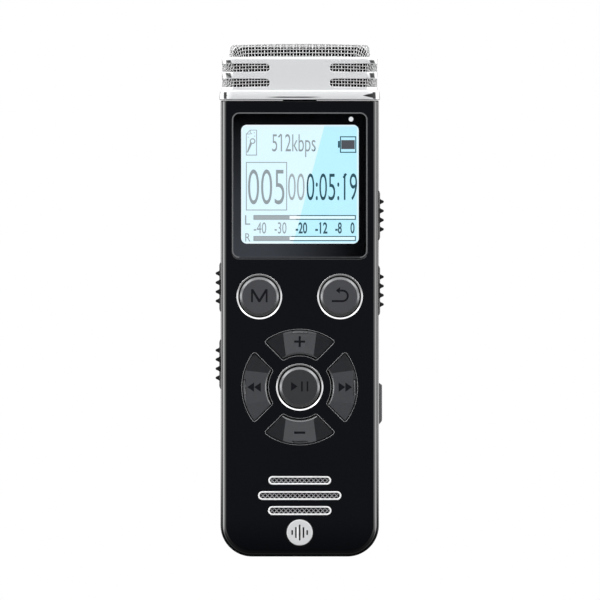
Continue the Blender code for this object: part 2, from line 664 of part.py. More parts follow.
def make_mic_carrier(shop):
    """Plinth under the head, with a plug into the frame and a post behind each capsule."""
    outline = head_outline(CARRIER_HALF_WIDTH, CARRIER_HALF_DEPTH, 1.2)
    carrier = shop.prism("mic_carrier", [outline], CARRIER_HEIGHTS, "matte_black", axis="Z")
    plug_x, plug_y = around(0, PLUG_HALF_WIDTH), around(0, PLUG_HALF_DEPTH)
    plug_z = (PLUG_LOW, CARRIER_HEIGHTS[0] + 2 * GAP)
    shop.join(carrier, shop.box("carrier_plug", plug_x, plug_y, plug_z))
    post_y, post_z = around(HEAD_Y, POST_HALF_DEPTH), (CARRIER_HEIGHTS[1] - 2 * GAP, POST_TOP)
    for side, label in SIDE_NAMES.items():
        post = shop.box(f"carrier_post_{label}", POST_SPAN, post_y, post_z, side=side)
        shop.join(carrier, post)


def make_microphone(shop, side):
    """Round capsule facing sideways, in a rubber cup."""
    place = (0, HEAD_Y, MIC_Z)
    facing_side = (0, side * math.pi / 2, 0)
    back, front = MIC_REACH
    capsule = [
        (0, front),
        (MIC_RADIUS - 0.2, front),
        (MIC_RADIUS, front - 0.15),
        (MIC_RADIUS, back),
        (0, back),
    ]
    back, front = BOOT_REACH
    cup = [
        (0, BOOT_FLOOR),
        (BOOT_INNER, BOOT_FLOOR),
        (BOOT_INNER, front),
        (BOOT_OUTER, front),
        (BOOT_OUTER, back),
        (0, back),
    ]
    label = SIDE_NAMES[side]
    shop.turned(f"mic_{label}", capsule, place, facing_side, "capsule", steps=14)
    shop.turned(f"mic_boot_{label}", cup, place, facing_side, "rubber", steps=14)


# ---------------------------------------------------------------- display


def make_display(shop):
    """Window, display glass, back light and the light pipe beside the display."""
    outline = rounded_rectangle(WINDOW_HALF_WIDTH, WINDOW_HEIGHTS, WINDOW_CORNER)
    window = shop.prism("display_window", [outline], WINDOW_SPAN, "window")
    round_edges(window, 0.08)
    outline = rounded_rectangle(GLASS_HALF_WIDTH, GLASS_HEIGHTS, 0.3, steps=2)
    glass = shop.prism("lcd_glass", [outline], GLASS_SPAN, "display")
    round_edges(glass, 0.1)
    heights = (BACK_LIGHT_LOW, GLASS_HEIGHTS[1])
    outline = rounded_rectangle(GLASS_HALF_WIDTH, heights, 0.3, steps=2)
    light = shop.prism("lcd_backlight", [outline], BACK_LIGHT_SPAN, "back_light")
    round_edges(light, 0.15)
    front, back = -WINDOW_SPAN[1] - GAP, -BACK_LIGHT_SPAN[1]
    pipe = [
        (0, front),
        (LIGHT_RADIUS - GAP, front),
        (LIGHT_RADIUS, front - GAP),
        (LIGHT_RADIUS, back),
        (0, back),
    ]
    place = (LIGHT_X, 0, LIGHT_Z)
    shop.turned("led_light_pipe", pipe, place, FACING_FRONT, "clear", steps=14)


def make_ribbon(shop):
    """Flat cable that folds from under the display glass round to the board."""
    front, back = RIBBON_FOLD_Y - RIBBON_FOLD, RIBBON_FOLD_Y + RIBBON_FOLD
    fold = arc(RIBBON_FOLD_Y, RIBBON_FOLD_Z, RIBBON_FOLD, 180, 360, 10)
    path = [(front, RIBBON_HEIGHTS[0])] + fold + [(back, RIBBON_HEIGHTS[1])]
    bm = bmesh.new()
    rows = []
    for y, z in path:
        edge_xs = around(0, RIBBON_HALF_WIDTH)
        rows.append([bm.verts.new((x * MM, y * MM, z * MM)) for x in edge_xs])
    for (a, b), (c, d) in zip(rows, rows[1:]):
        bm.faces.new((a, b, d, c))
    mesh = bpy.data.meshes.new("lcd_ribbon")
    bm.to_mesh(mesh)
    bm.free()
    ribbon = shop.add(bpy.data.objects.new("lcd_ribbon", mesh), "ribbon")
    thickness = ribbon.modifiers.new("Thickness", "SOLIDIFY")
    thickness.thickness = RIBBON_THICKNESS * MM
    thickness.offset = 0


# ---------------------------------------------------------------- front controls


def make_trim_ring(shop, label):
    """Bright ring that slopes down to its button and is held behind the panel."""
    button = BUTTONS[label]
    outer, inner = button["ring"], button["ring"] - RING_WIDTH
    foot = outer + RING_FOOT_STEP
    profile = [
        (inner, RING_LOW_LIP),
        (outer - 0.12, RING_CREST),
        (outer, RING_CREST - 0.05),
        (outer, RING_FOOT_HEIGHTS[1]),
        (foot, RING_FOOT_HEIGHTS[1]),
        (foot, RING_FOOT_HEIGHTS[0]),
        (inner, RING_FOOT_HEIGHTS[0]),
    ]
    place = (button["x"], 0, button["z"])
    shop.turned(f"{label}_ring", profile, place, FACING_FRONT, "chrome", closed=True)


def make_round_button(shop, label):
    """Push button with a chamfered face, a retaining flange and a stem to its switch."""
    button = BUTTONS[label]
    cap = button["cap"]
    low, high = RETAINER_HEIGHTS
    profile = [
        (0, BUTTON_FACE),
        (cap - BUTTON_CHAMFER[0], BUTTON_FACE),
        (cap, BUTTON_FACE - BUTTON_CHAMFER[1]),
        (cap, high),
        (cap + RETAINER_STEP, high),
        (cap + RETAINER_STEP, low),
        (STEM_RADIUS, low),
        (STEM_RADIUS, STEM_TIP),
        (0, STEM_TIP),
    ]
    place = (button["x"], 0, button["z"])
    shop.turned(f"{label}_button", profile, place, FACING_FRONT, "key_grey")


def key_middle(direction):
    """Place of a sector key's stem, as (x, z)."""
    turn = math.radians(direction)
    return (KEY_STEM_REACH * math.cos(turn), PLAY_Z + KEY_STEM_REACH * math.sin(turn))


def make_sector_key(shop, label):
    """Sector key with a hidden flange and a stem that reaches its switch."""
    direction = KEYS[label]
    name = f"{label}_key"
    middle = key_middle(direction)
    face = sector(KEY_INNER, KEY_OUTER, KEY_SIDE_OFFSET, direction)
    key = shop.prism(name, [face], KEY_SPAN, "key_grey", origin=middle)
    round_edges(key, KEY_EDGE)
    step = KEY_FLANGE_STEP
    foot = sector(KEY_INNER, KEY_OUTER + step, KEY_SIDE_OFFSET - step, direction)
    flange = shop.prism(name + "_flange", [foot], KEY_FLANGE_SPAN, origin=middle)
    stem_outline = circle(*middle, KEY_STEM_RADIUS, 12)
    stem_span = (KEY_FLANGE_SPAN[1] - GAP, -STEM_TIP)
    stem = shop.prism(name + "_stem", [stem_outline], stem_span, origin=middle)
    shop.join(key, flange, stem)


def make_tact_switch(shop, label, x, z):
    """Small round snap switch on the board under a button."""
    low, high = SWITCH_HEIGHTS
    profile = [
        (0, SWITCH_DOME),
        (SWITCH_DOME_RADIUS, high),
        (SWITCH_RADIUS, high),
        (SWITCH_RADIUS, low),
        (0, low),
    ]
    shop.turned(f"{label}_switch", profile, (x, 0, z), FACING_FRONT, "tact", steps=12)


def make_front_controls(shop):
    for label, button in BUTTONS.items():
        make_trim_ring(shop, label)
        make_round_button(shop, label)
        make_tact_switch(shop, label, button["x"], button["z"])
    for label, direction in KEYS.items():
        make_sector_key(shop, label)
        make_tact_switch(shop, label, *key_middle(direction))


# ---------------------------------------------------------------- side controls


def slider_outline(side, z):
    """Ridged outline of a slider's thumb piece, seen from the front."""
    low, high = around(z, SLIDER_LENGTH / 2)
    first = z - RIDGE_PITCH * (RIDGE_COUNT - 1) / 2
    points = [(SLIDER_FOOT, low), (SLIDER_BASE, low + 0.15)]
    for number in range(RIDGE_COUNT):
        ridge = first + number * RIDGE_PITCH
        points += [
            (SLIDER_BASE, ridge - RIDGE_HALF_FOOT),
            (SLIDER_TIP, ridge - RIDGE_HALF_TIP),
            (SLIDER_TIP, ridge + RIDGE_HALF_TIP),
            (SLIDER_BASE, ridge + RIDGE_HALF_FOOT),
        ]
    points += [(SLIDER_BASE, high - 0.15), (SLIDER_FOOT, high)]
    return [(side * x, height) for x, height in points]


def make_slider(shop, label):
    """Thumb slider: ridged piece outside, neck through the wall, finger in its switch."""
    side, z = SLIDERS[label]
    name = f"{label}_slider"
    depths = around(0, SLIDER_HALF_DEPTH)
    origin = (side * SLIDER_FOOT, z)
    outline = slider_outline(side, z)
    slider = shop.prism(name, [outline], depths, "matte_black", origin=origin)
    neck_y, neck_z = around(0, NECK_HALF_DEPTH), around(z, NECK_HALF_LENGTH)
    neck = shop.box(name + "_neck", (14.2, 16.1), neck_y, neck_z, side=side)
    foot_y, foot_z = around(0, NECK_HALF_DEPTH + 0.7), around(z, NECK_HALF_LENGTH + 1.1)
    foot = shop.box(name + "_foot", (13.8, 14.4), foot_y, foot_z, side=side)
    finger_z = around(z, FINGER_HALF_LENGTH)
    finger = shop.box(name + "_finger", (12.2, 14.0), FINGER_SPAN, finger_z, side=side)
    shop.join(slider, neck, foot, finger)


def make_slide_switch(shop, label):
    """Slide switch on the back of the board, with a slot for its slider's finger."""
    side, z = SLIDERS[label]
    name = f"{label}_switch"
    middle = z + SLIDER_TRAVEL / 2
    body_z = around(middle, 3.3)
    body = shop.box(name, (10.4, 13.1), SWITCH_BODY_SPAN, body_z, "switch", side=side)
    slot_y = (FINGER_SPAN[0] - 2 * GAP, FINGER_SPAN[1] + 2 * GAP)
    slot_z = around(middle, SLIDER_TRAVEL / 2 + FINGER_HALF_LENGTH + 0.3)
    shop.cut(body, shop.box(name + "_slot", (11.8, 14.0), slot_y, slot_z, side=side))


def make_side_key(shop):
    """Smooth side key with chamfered ends and a flange inside the wall, and its switch."""
    low, high = around(SIDE_KEY_Z, SIDE_KEY_HALF_LENGTH)
    outline = [
        (SIDE_KEY_FOOT, low),
        (SIDE_KEY_SHOULDER, low),
        (SIDE_KEY_FACE, low + SIDE_KEY_LOW_CHAMFER),
        (SIDE_KEY_FACE, high - SIDE_KEY_HIGH_CHAMFER),
        (SIDE_KEY_SHOULDER, high),
        (SIDE_KEY_FOOT, high),
    ]
    depths = around(0, SIDE_KEY_HALF_DEPTH)
    origin = (SIDE_KEY_FACE, SIDE_KEY_Z)
    key = shop.prism("side_key", [outline], depths, "matte_black", origin=origin)
    flange_y = around(0, SIDE_KEY_HALF_DEPTH + 0.6)
    flange = shop.box("side_key_flange", (14.05, 14.5), flange_y, (low, high))
    stem_z = around(SIDE_KEY_Z, 0.6)
    stem = shop.box("side_key_stem", (13.6, 14.2), around(0.5, 0.4), stem_z)
    shop.join(key, flange, stem)
    body_z, plunger_z = around(SIDE_KEY_Z, 2.2), around(SIDE_KEY_Z, 0.5)
    body = shop.box("side_switch", (10.6, 12.9), SWITCH_BODY_SPAN, body_z, "switch")
    plunger = shop.box("side_switch_plunger", (12.8, 13.15), around(0.5, 0.3), plunger_z)
    shop.join(body, plunger)


# ---------------------------------------------------------------- loudspeaker and badge


def make_grille(shop):
    for name, (z, length, height) in RIMS.items():
        outside = stadium(0, z, length, height)
        inside = stadium(0, z, length - 2 * RIM_WIDTH, height - 2 * RIM_WIDTH)
        rim = shop.prism(name, [outside, inside], RIM_SPAN, "chrome", origin=(0, z))
        smooth(rim)
    outline = rounded_rectangle(9.2, (7.6, 16.9), 1.5, steps=3)
    shop.prism("grille_mesh", [outline], GRILLE_MESH_SPAN, "wire")


def make_speaker(shop):
    """Flat loudspeaker with a dished front and the foam ring that seals it."""
    outside = rounded_rectangle(10.2, (6.2, 18.2), 2.4, steps=4)
    inside = rounded_rectangle(9.3, (7.1, 17.3), 1.6, steps=4)
    shop.prism("speaker_gasket", [outside, inside], GASKET_SPAN, "foam")
    speaker = shop.prism("speaker", [outside], SPEAKER_SPAN, "speaker")
    dish = shop.prism("speaker_dish", [inside], (THROUGH[0], SPEAKER_DISH))
    shop.cut(speaker, dish)


def make_badge(shop):
    outline = circle(0, BADGE_Z, BADGE_RADIUS)
    badge = shop.prism("badge", [outline], BADGE_SPAN, "satin_silver", origin=(0, BADGE_Z))
    round_edges(badge, 0.1)


# ---------------------------------------------------------------- inside


def make_main_board(shop):
    """Circuit board with its chips, notched at the bottom for the two jacks."""
    outline = rounded_rectangle(BOARD_HALF_WIDTH, BOARD_HEIGHTS, BOARD_CORNER, 0.6)
    board = shop.prism("main_board", [outline], BOARD_SPAN, "board")
    notch_x = around(JACK_X, JACK_HALF_WIDTH + JACK_NOTCH_GAP)
    notch_z = (0, JACK_HEIGHTS[1] + JACK_NOTCH_GAP)
    for side, label in SIDE_NAMES.items():
        notch = shop.box(f"jack_notch_{label}", notch_x, around(0, 2), notch_z, side=side)
        shop.cut(board, notch)
    back = BOARD_SPAN[1]
    for name, (x_span, z_span, height) in CHIPS.items():
        shop.join(board, shop.box(name, x_span, (back - GAP, back + height), z_span))


def make_battery(shop):
    outline = rounded_rectangle(BATTERY_HALF_WIDTH, BATTERY_SPAN, BATTERY_CORNER, steps=3)
    battery = shop.prism("battery", [outline], BATTERY_HEIGHTS, "battery", axis="Z")
    for end in (-1, 1):
        round_edges(battery, 0.3, end=end)


def make_jack(shop, name, side):
    """Round socket with a nose that fills its hole in the bottom end."""
    x = side * JACK_X
    body_x, body_y = around(x, JACK_HALF_WIDTH), around(PORT_Y, JACK_HALF_DEPTH)
    jack = shop.box(name, body_x, body_y, JACK_HEIGHTS, "switch")
    outline = circle(x, PORT_Y, JACK_NOSE_RADIUS, 20)
    nose_z = (JACK_NOSE_LOW, JACK_HEIGHTS[0] + 2 * GAP)
    nose = shop.prism(name + "_nose", [outline], nose_z, axis="Z")
    outline = circle(x, PORT_Y, JACK_BORE_RADIUS, 20)
    bore = shop.prism(name + "_bore", [outline], (-1, JACK_BORE_DEPTH), axis="Z")
    shop.join(jack, nose)
    shop.cut(jack, bore)


def make_usb_socket(shop):
    """Metal socket shell with its tongue."""
    low, high = USB_HEIGHTS
    socket_x, socket_y = around(0, USB_HALF_WIDTH), around(PORT_Y, USB_HALF_DEPTH)
    socket = shop.box("usb_socket", socket_x, socket_y, USB_HEIGHTS, "steel")
    cavity_x = around(0, USB_HALF_WIDTH - USB_WALL)
    cavity_y = around(PORT_Y, USB_HALF_DEPTH - USB_WALL)
    cavity = shop.box("usb_cavity", cavity_x, cavity_y, (low - 1, high - 2 * USB_WALL))
    tongue_x, tongue_y = around(0, TONGUE_HALF_WIDTH), around(PORT_Y, TONGUE_HALF_DEPTH)
    tongue = shop.box("usb_tongue", tongue_x, tongue_y, (TONGUE_LOW, high - USB_WALL))
    shop.cut(socket, cavity)
    shop.join(socket, tongue)


# ---------------------------------------------------------------- assembly


def build():
    clear_scene()
    shop = Workshop()
    make_front_shell(shop)
    make_mid_frame(shop)
    make_rear_cover(shop)
    for side in SIDE_NAMES:
        make_microphone(shop, side)
        for level in SCREW_HEIGHTS:
            make_cover_screw(shop, side, level)
    make_head_cap(shop)
    make_mic_mesh(shop)
    make_foam_windscreen(shop)
    make_mic_carrier(shop)
    make_display(shop)
    make_ribbon(shop)
    make_front_controls(shop)
    for label in SLIDERS:
        make_slider(shop, label)
        make_slide_switch(shop, label)
    make_side_key(shop)
    make_grille(shop)
    make_speaker(shop)
    make_badge(shop)
    make_main_board(shop)
    make_battery(shop)
    make_jack(shop, "headphone_jack", 1)
    make_jack(shop, "microphone_jack", -1)
    make_usb_socket(shop)
    bpy.context.view_layer.update()


build()
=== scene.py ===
import math

import bmesh
import bpy
import numpy as np
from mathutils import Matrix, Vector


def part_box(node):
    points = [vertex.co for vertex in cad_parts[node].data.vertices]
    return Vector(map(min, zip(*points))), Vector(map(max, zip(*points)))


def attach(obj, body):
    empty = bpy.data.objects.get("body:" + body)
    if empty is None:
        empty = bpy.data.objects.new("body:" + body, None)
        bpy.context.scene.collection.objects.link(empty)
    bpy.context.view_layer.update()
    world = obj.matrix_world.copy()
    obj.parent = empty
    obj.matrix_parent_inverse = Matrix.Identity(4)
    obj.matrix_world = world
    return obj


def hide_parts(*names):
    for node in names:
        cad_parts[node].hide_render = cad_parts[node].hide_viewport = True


# Looks of the handheld voice recorder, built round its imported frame.
#
# Lengths are in millimetres and turned into metres where a mesh is made.  The frame has
# +Z up towards the microphones, -Y at the front and +X at the right as seen from the
# front.  Places come from the boxes of the CAD nodes.  Outlines are lists of (u, v).

MM = 0.001
HOUSING = "housing"

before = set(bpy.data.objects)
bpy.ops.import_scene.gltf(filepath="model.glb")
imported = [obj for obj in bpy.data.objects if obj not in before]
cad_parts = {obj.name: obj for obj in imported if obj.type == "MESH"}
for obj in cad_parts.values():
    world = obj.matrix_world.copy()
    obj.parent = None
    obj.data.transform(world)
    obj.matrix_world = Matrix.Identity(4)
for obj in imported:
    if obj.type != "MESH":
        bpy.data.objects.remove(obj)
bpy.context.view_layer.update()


def extent(node):
    """Spans of a CAD node along x, y and z, in millimetres."""
    low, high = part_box(node)
    return [(a / MM, b / MM) for a, b in zip(low, high)]


def centre_of(node):
    return [(low + high) / 2 for low, high in extent(node)]


def around(middle, half):
    return (middle - half, middle + half)


def mirrored(side, near, far):
    """Span from near to far on one side of the middle plane."""
    return tuple(sorted((side * near, side * far)))


def at_depth(outline, y):
    """Outline of (x, z) as a ring at one depth."""
    return [(x, y, z) for x, z in outline]


# ---------------------------------------------------------------- outlines


def arc(cu, cv, radius, start, end, steps):
    angles = [math.radians(start + (end - start) * i / steps) for i in range(steps + 1)]
    return [(cu + radius * math.cos(a), cv + radius * math.sin(a)) for a in angles]


def circle(cu, cv, radius, steps=96):
    return arc(cu, cv, radius, 0, 360 * (1 - 1 / steps), steps - 1)


def rectangle(u_span, v_span):
    (left, right), (low, high) = u_span, v_span
    return [(left, low), (right, low), (right, high), (left, high)]


def rounded_rectangle(u_span, v_span, radius, high_radius=None, steps=12):
    """Rounded outline, with its upper corners' radius apart if that is given."""
    (left, right), (low, high) = u_span, v_span
    top = radius if high_radius is None else high_radius
    return (
        arc(left + radius, low + radius, radius, 180, 270, steps)
        + arc(right - radius, low + radius, radius, 270, 360, steps)
        + arc(right - top, high - top, top, 0, 90, steps)
        + arc(left + top, high - top, top, 90, 180, steps)
    )


def stadium(cu, cv, length, height, steps=24):
    radius = height / 2
    reach = length / 2 - radius
    right = arc(cu + reach, cv, radius, -90, 90, steps)
    return right + arc(cu - reach, cv, radius, 90, 270, steps)


def softened(points, radius):
    """Outline with its sharp corners rounded off."""
    made, steps = [], 6
    count = len(points)
    for i, corner in enumerate(points):
        before, after = points[i - 1], points[(i + 1) % count]
        a = np.subtract(before, corner)
        b = np.subtract(after, corner)
        a, b = a / np.linalg.norm(a), b / np.linalg.norm(b)
        turn = math.pi - math.acos(max(-1.0, min(1.0, float(a @ b))))
        if turn < math.radians(25):
            made.append(tuple(corner))
            continue
        back = radius * math.tan(turn / 2)
        middle = np.add(corner, (a + b) / np.linalg.norm(a + b) * radius / math.cos(turn / 2))
        first = np.add(corner, a * back) - middle
        last = np.add(corner, b * back) - middle
        for k in range(steps + 1):
            part = k / steps
            way = first * (1 - part) + last * part
            made.append(tuple(middle + way / np.linalg.norm(way) * radius))
    return made


def stroked(path, width):
    """Outline of a line of the given width along an open path."""
    points = np.array(path, float)
    ahead = np.gradient(points, axis=0)
    ahead /= np.linalg.norm(ahead, axis=1)[:, None]
    side = np.stack([-ahead[:, 1], ahead[:, 0]], axis=1) * width / 2
    return [tuple(p) for p in points + side] + [tuple(p) for p in (points - side)[::-1]]


# ---------------------------------------------------------------- meshes


def object_from(name, mesh):
    obj = bpy.data.objects.new(name, mesh)
    bpy.context.scene.collection.objects.link(obj)
    return obj


def mesh_from(name, verts, faces):
    """Object from vertices in millimetres, with its faces turned outwards."""
    mesh = bpy.data.meshes.new(name)
    mesh.from_pydata([(x * MM, y * MM, z * MM) for x, y, z in verts], [], faces)
    bm = bmesh.new()
    bm.from_mesh(mesh)
    bmesh.ops.recalc_face_normals(bm, faces=bm.faces)
    bm.to_mesh(mesh)
    bm.free()
    return object_from(name, mesh)


def skin(rows, count, start=0, closed=False):
    """Faces over rows of count vertices, with flat ends unless the last row meets the first."""
    faces = []
    for row in range(rows if closed else rows - 1):
        a, b = start + row * count, start + (row + 1) % rows * count
        faces += [(a + i, a + (i + 1) % count, b + (i + 1) % count, b + i) for i in range(count)]
    if not closed:
        ends = start, start + (rows - 1) * count
        faces += [tuple(range(end, end + count)) for end in ends]
    return faces


def loft(name, rings, closed=False):
    """Skin over rings of equal length."""
    verts = [point for ring in rings for point in ring]
    return mesh_from(name, verts, skin(len(rings), len(rings[0]), closed=closed))


def band(name, outline_at, section):
    """Band along an outline, closed on itself: its section is a list of (inset, y)."""
    return loft(name, [at_depth(outline_at(inset), y) for inset, y in section], closed=True)


def prism(name, outline, span, upright=False):
    """Outline of (x, z) pushed along y, or of (x, y) pushed upwards."""
    return loft(name, [[(u, v, w) if upright else (u, w, v) for u, v in outline] for w in span])


def block(name, x_span, y_span, z_span):
    return prism(name, rectangle(x_span, z_span), y_span)


def turned(name, profile, place, facing="front", steps=96, closed=False):
    """Profile of (radius, height) spun about an axis through place."""
    x, y, z = place
    spot = {
        "front": lambda r, s, h: (x + r, y - h, z + s),
        "back": lambda r, s, h: (x + r, y + h, z + s),
        "up": lambda r, s, h: (x + r, y + s, z + h),
    }[facing]
    angles = [2 * math.pi * i / steps for i in range(steps)]
    rings = [[spot(r * math.cos(a), r * math.sin(a), h) for a in angles] for r, h in profile]
    return loft(name, rings, closed)


def fillet(radius, steps=8):
    """(inset, depth) pairs from the side of a piece round to its face."""
    made = []
    for i in range(steps + 1):
        a = math.pi / 2 * i / steps
        made.append((radius * (1 - math.cos(a)), radius * (1 - math.sin(a))))
    return made


def baked(obj):
    """Mesh of an object as its modifiers leave it."""
    graph = bpy.context.evaluated_depsgraph_get()
    graph.update()
    return bpy.data.meshes.new_from_object(obj.evaluated_get(graph))


def evaluated(obj):
    """Replace an object's mesh with the result of its modifiers."""
    mesh = baked(obj)
    obj.modifiers.clear()
    obj.data = mesh
    return obj


def object_of(name, bm):
    """Object from a finished bmesh, which is freed."""
    mesh = bpy.data.meshes.new(name)
    bm.to_mesh(mesh)
    bm.free()
    return object_from(name, mesh)


def merged(name, objs):
    """One object that holds several that don't touch."""
    bm = bmesh.new()
    for obj in objs:
        bm.from_mesh(obj.data)
        bpy.data.objects.remove(obj, do_unlink=True)
    return object_of(name, bm)


def combined(obj, tools, operation):
    for tool in tools:
        modifier = obj.modifiers.new(tool.name, "BOOLEAN")
        modifier.operation = operation
        modifier.solver = "EXACT"
        modifier.object = tool
    evaluated(obj)
    for tool in tools:
        bpy.data.objects.remove(tool, do_unlink=True)
    return obj


def carved(obj, *tools):
    return combined(obj, tools, "DIFFERENCE")


def joined(obj, *tools):
    return combined(obj, tools, "UNION")


def bevelled(obj, width, segments=2, angle=32):
    modifier = obj.modifiers.new("Edges", "BEVEL")
    modifier.width = width * MM
    modifier.segments = segments
    modifier.limit_method = "ANGLE"
    modifier.angle_limit = math.radians(angle)
    modifier.use_clamp_overlap = False
    modifier.harden_normals = True
    obj.data.shade_smooth()
    return evaluated(obj)


def shaded(obj, angle=32):
    """Smooth shading that keeps flat faces flat and sharp edges sharp."""
    obj.data.shade_smooth()
    obj.data.set_sharp_from_angle(angle=math.radians(angle))
    modifier = obj.modifiers.new("Normals", "WEIGHTED_NORMAL")
    modifier.keep_sharp = True
    return obj


# ---------------------------------------------------------------- shader trees


class Tree:
    """Short way to write a node tree: inputs are numbers, colours or sockets."""

    def __init__(self, owner):
        owner.use_nodes = True
        self.tree = owner.node_tree
        self.tree.nodes.clear()

    def node(self, kind, inputs=None, **settings):
        made = self.tree.nodes.new("ShaderNode" + kind)
        for key, value in settings.items():
            setattr(made, key, value)
        for key, value in (inputs or {}).items():
            if isinstance(value, bpy.types.NodeSocket):
                self.tree.links.new(value, made.inputs[key])
            else:
                made.inputs[key].default_value = value
        return made

    def math(self, operation, first, *others):
        """Operation on one value, or on several taken two at a time from the left."""
        for other in others or (0.0,):
            first = self.node("Math", {0: first, 1: other}, operation=operation).outputs[0]
        return first

    def times(self, *values):
        return self.math("MULTIPLY", *values)

    def away(self, value, place=0.0):
        """Distance of a value from a place."""
        return self.math("ABSOLUTE", self.math("SUBTRACT", value, place))

    def ramp(self, value, low, high, first=0.0, last=1.0, smooth=True):
        inputs = {0: value, 1: low, 2: high, 3: first, 4: last}
        kind = "SMOOTHSTEP" if smooth else "LINEAR"
        return self.node("MapRange", inputs, interpolation_type=kind).outputs[0]

    def blend(self, factor, a, b):
        return self.node("Mix", {0: factor, 6: a, 7: b}, data_type="RGBA").outputs[2]

    def axes(self, vector, scale=1.0):
        scaled = self.node("VectorMath", {0: vector, 1: (scale,) * 3}, operation="MULTIPLY")
        return self.node("SeparateXYZ", {0: scaled.outputs[0]}).outputs[:]

    def spot(self):
        """Place on the object along x, y and z, in millimetres."""
        return self.axes(self.coordinates(), 1 / MM)

    def normal(self):
        return self.axes(self.node("NewGeometry").outputs["Normal"])

    def coordinates(self):
        return self.node("TexCoord").outputs["Object"]

    def noise(self, scale, detail=2.0, roughness=0.5):
        place = self.coordinates()
        inputs = {"Vector": place, "Scale": scale, "Detail": detail, "Roughness": roughness}
        return self.node("TexNoise", inputs).outputs["Fac"]

    def bump(self, height, depth):
        inputs = {"Height": height, "Distance": depth * MM, "Strength": 1.0}
        return self.node("Bump", inputs).outputs["Normal"]

    def surface(self, kind, inputs):
        """End the tree in a shader of a kind."""
        shader = self.node(kind, inputs).outputs[0]
        self.node("OutputMaterial", {"Surface": shader})


def rgb(red, green, blue):
    """Linear colour from display values of 0 to 255."""
    made = []
    for value in (red, green, blue):
        share = value / 255
        made.append(share / 12.92 if share <= 0.04045 else ((share + 0.055) / 1.055) ** 2.4)
    return (*made, 1.0)


def scaled(colour, factor):
    return (*[min(1.0, c * factor) for c in colour[:3]], 1.0)


def new_look(name):
    made = bpy.data.materials.new(name)
    return made, Tree(made)


def coated(
    name, colour, roughness, metallic=0.0, specular=0.5, grain=(1800, 0.002), mottle=0.08,
    wear=0.0, fade=None, shade=1.0,
):
    """Moulded, painted or metal finish.

    A slow noise varies its colour and a fine one its roughness and its grain (scale per
    metre, depth in millimetres).  Wear lightens and polishes the edges.  The gloss falloff
    is painted shade: it dulls the gloss from a height down to a lower one, where the given
    share of it is left.  Shade is painted shade: how much of the colour is left where the
    surface faces upwards or sideways.
    """
    made, tree = new_look(name)
    slow, fine = tree.noise(140, 3.0), tree.noise(grain[0], 4.0, 0.6)
    tint = tree.blend(slow, scaled(colour, 1 - mottle), scaled(colour, 1 + mottle))
    if wear:
        edge = tree.node("Bevel", {"Radius": 0.12 * MM}, samples=4).outputs[0]
        flat = tree.node("NewGeometry").outputs["Normal"]
        dot = tree.node("VectorMath", {0: edge, 1: flat}, operation="DOT_PRODUCT")
        rubbed = tree.ramp(dot.outputs["Value"], 0.97, 0.8)
        share = tree.times(rubbed, tree.ramp(slow, 0.35, 0.6), wear)
        lighter = tree.blend(0.25, scaled(colour, 1.6), (0.5, 0.5, 0.5, 1.0))
        tint = tree.blend(share, tint, lighter)
    # Painted shade: faces turned upwards or sideways keep only the shade share of their colour
    if shade < 1:
        nx, _, nz = tree.normal()
        away = tree.math("MAXIMUM", tree.ramp(tree.away(nx), 0.5, 0.95), tree.ramp(nz, 0.35, 0.9))
        tint = tree.blend(tree.times(away, 1 - shade), tint, BLACK)
    # Painted shade: the gloss falls off towards the bottom
    if fade:
        low, high, share = fade
        specular = tree.ramp(tree.spot()[2], low, high, specular * share, specular)
    tree.surface("BsdfPrincipled", {
        "Base Color": tint,
        "Roughness": tree.ramp(fine, 0.3, 0.7, roughness * 0.85, min(1.0, roughness * 1.15)),
        "Metallic": metallic,
        "Specular IOR Level": specular,
        "Normal": tree.bump(fine, grain[1]),
    })
    return made


WHITE, BLACK = (1, 1, 1, 1), (0, 0, 0, 1)

# The glare across the display is a straight-edged light patch: x = slope * z + offset
GLARE_SLOPE, GLARE_OFFSET = 0.267, -18.04

# Heights of the painted dark reflections on the head's corners above each slot
PAINTED_REFLECTION_BANDS = ((95.75, 96.7), (98.7, 99.25))


def glare_side(tree, softness, shift):
    """1 to the right of the glare's edge, moved by shift, and 0 to its left."""
    x, _, z = tree.spot()
    lean = tree.math("SUBTRACT", x, tree.times(z, GLARE_SLOPE))
    edge = GLARE_OFFSET + shift
    return tree.ramp(lean, edge - softness, edge + softness)


def glowing(name, left, right, strength=1.0, shift=0.0, edge=False):
    """Lit display layer, paler where the glare crosses it."""
    made, tree = new_look(name)
    shade = tree.blend(glare_side(tree, 0.06, shift), left, right)
    cloud = tree.noise(90, 2.0)
    shade = tree.blend(tree.ramp(cloud, 0.2, 0.8, 0.0, 0.04), shade, WHITE)
    if edge:
        x, _, z = tree.spot()
        across = tree.ramp(tree.away(x), 11.2, 11.8)
        share = tree.math("MAXIMUM", across, tree.ramp(tree.away(z, 74.45), 11.3, 11.9))
        shade = tree.blend(tree.times(share, 0.6), shade, WHITE)
    tree.surface("BsdfPrincipled", {
        "Base Color": scaled(right, 0.12),
        "Roughness": tree.ramp(cloud, 0.3, 0.7, 0.35, 0.5),
        "Specular IOR Level": 0.1,
        "Emission Color": shade,
        "Emission Strength": strength,
    })
    return made


def window_film(name):
    """Dark printed border of the window, with the faint glare over its lower left."""
    made, tree = new_look(name)
    x, _, z = tree.spot()
    share = tree.times(tree.ramp(z, 87.5, 62, smooth=False), tree.ramp(x, 13, -9))
    cloud = tree.ramp(tree.noise(160, 2.0), 0.2, 0.8, 0.92, 1.08)
    tree.surface("BsdfPrincipled", {
        "Base Color": (0.002, 0.002, 0.0025, 1),
        "Roughness": tree.ramp(cloud, 0.9, 1.1, 0.2, 0.3),
        "Specular IOR Level": 0.0,
        "Emission Color": tree.blend(tree.times(share, cloud), BLACK, rgb(59, 62, 67)),
        "Emission Strength": 1.0,
    })
    return made


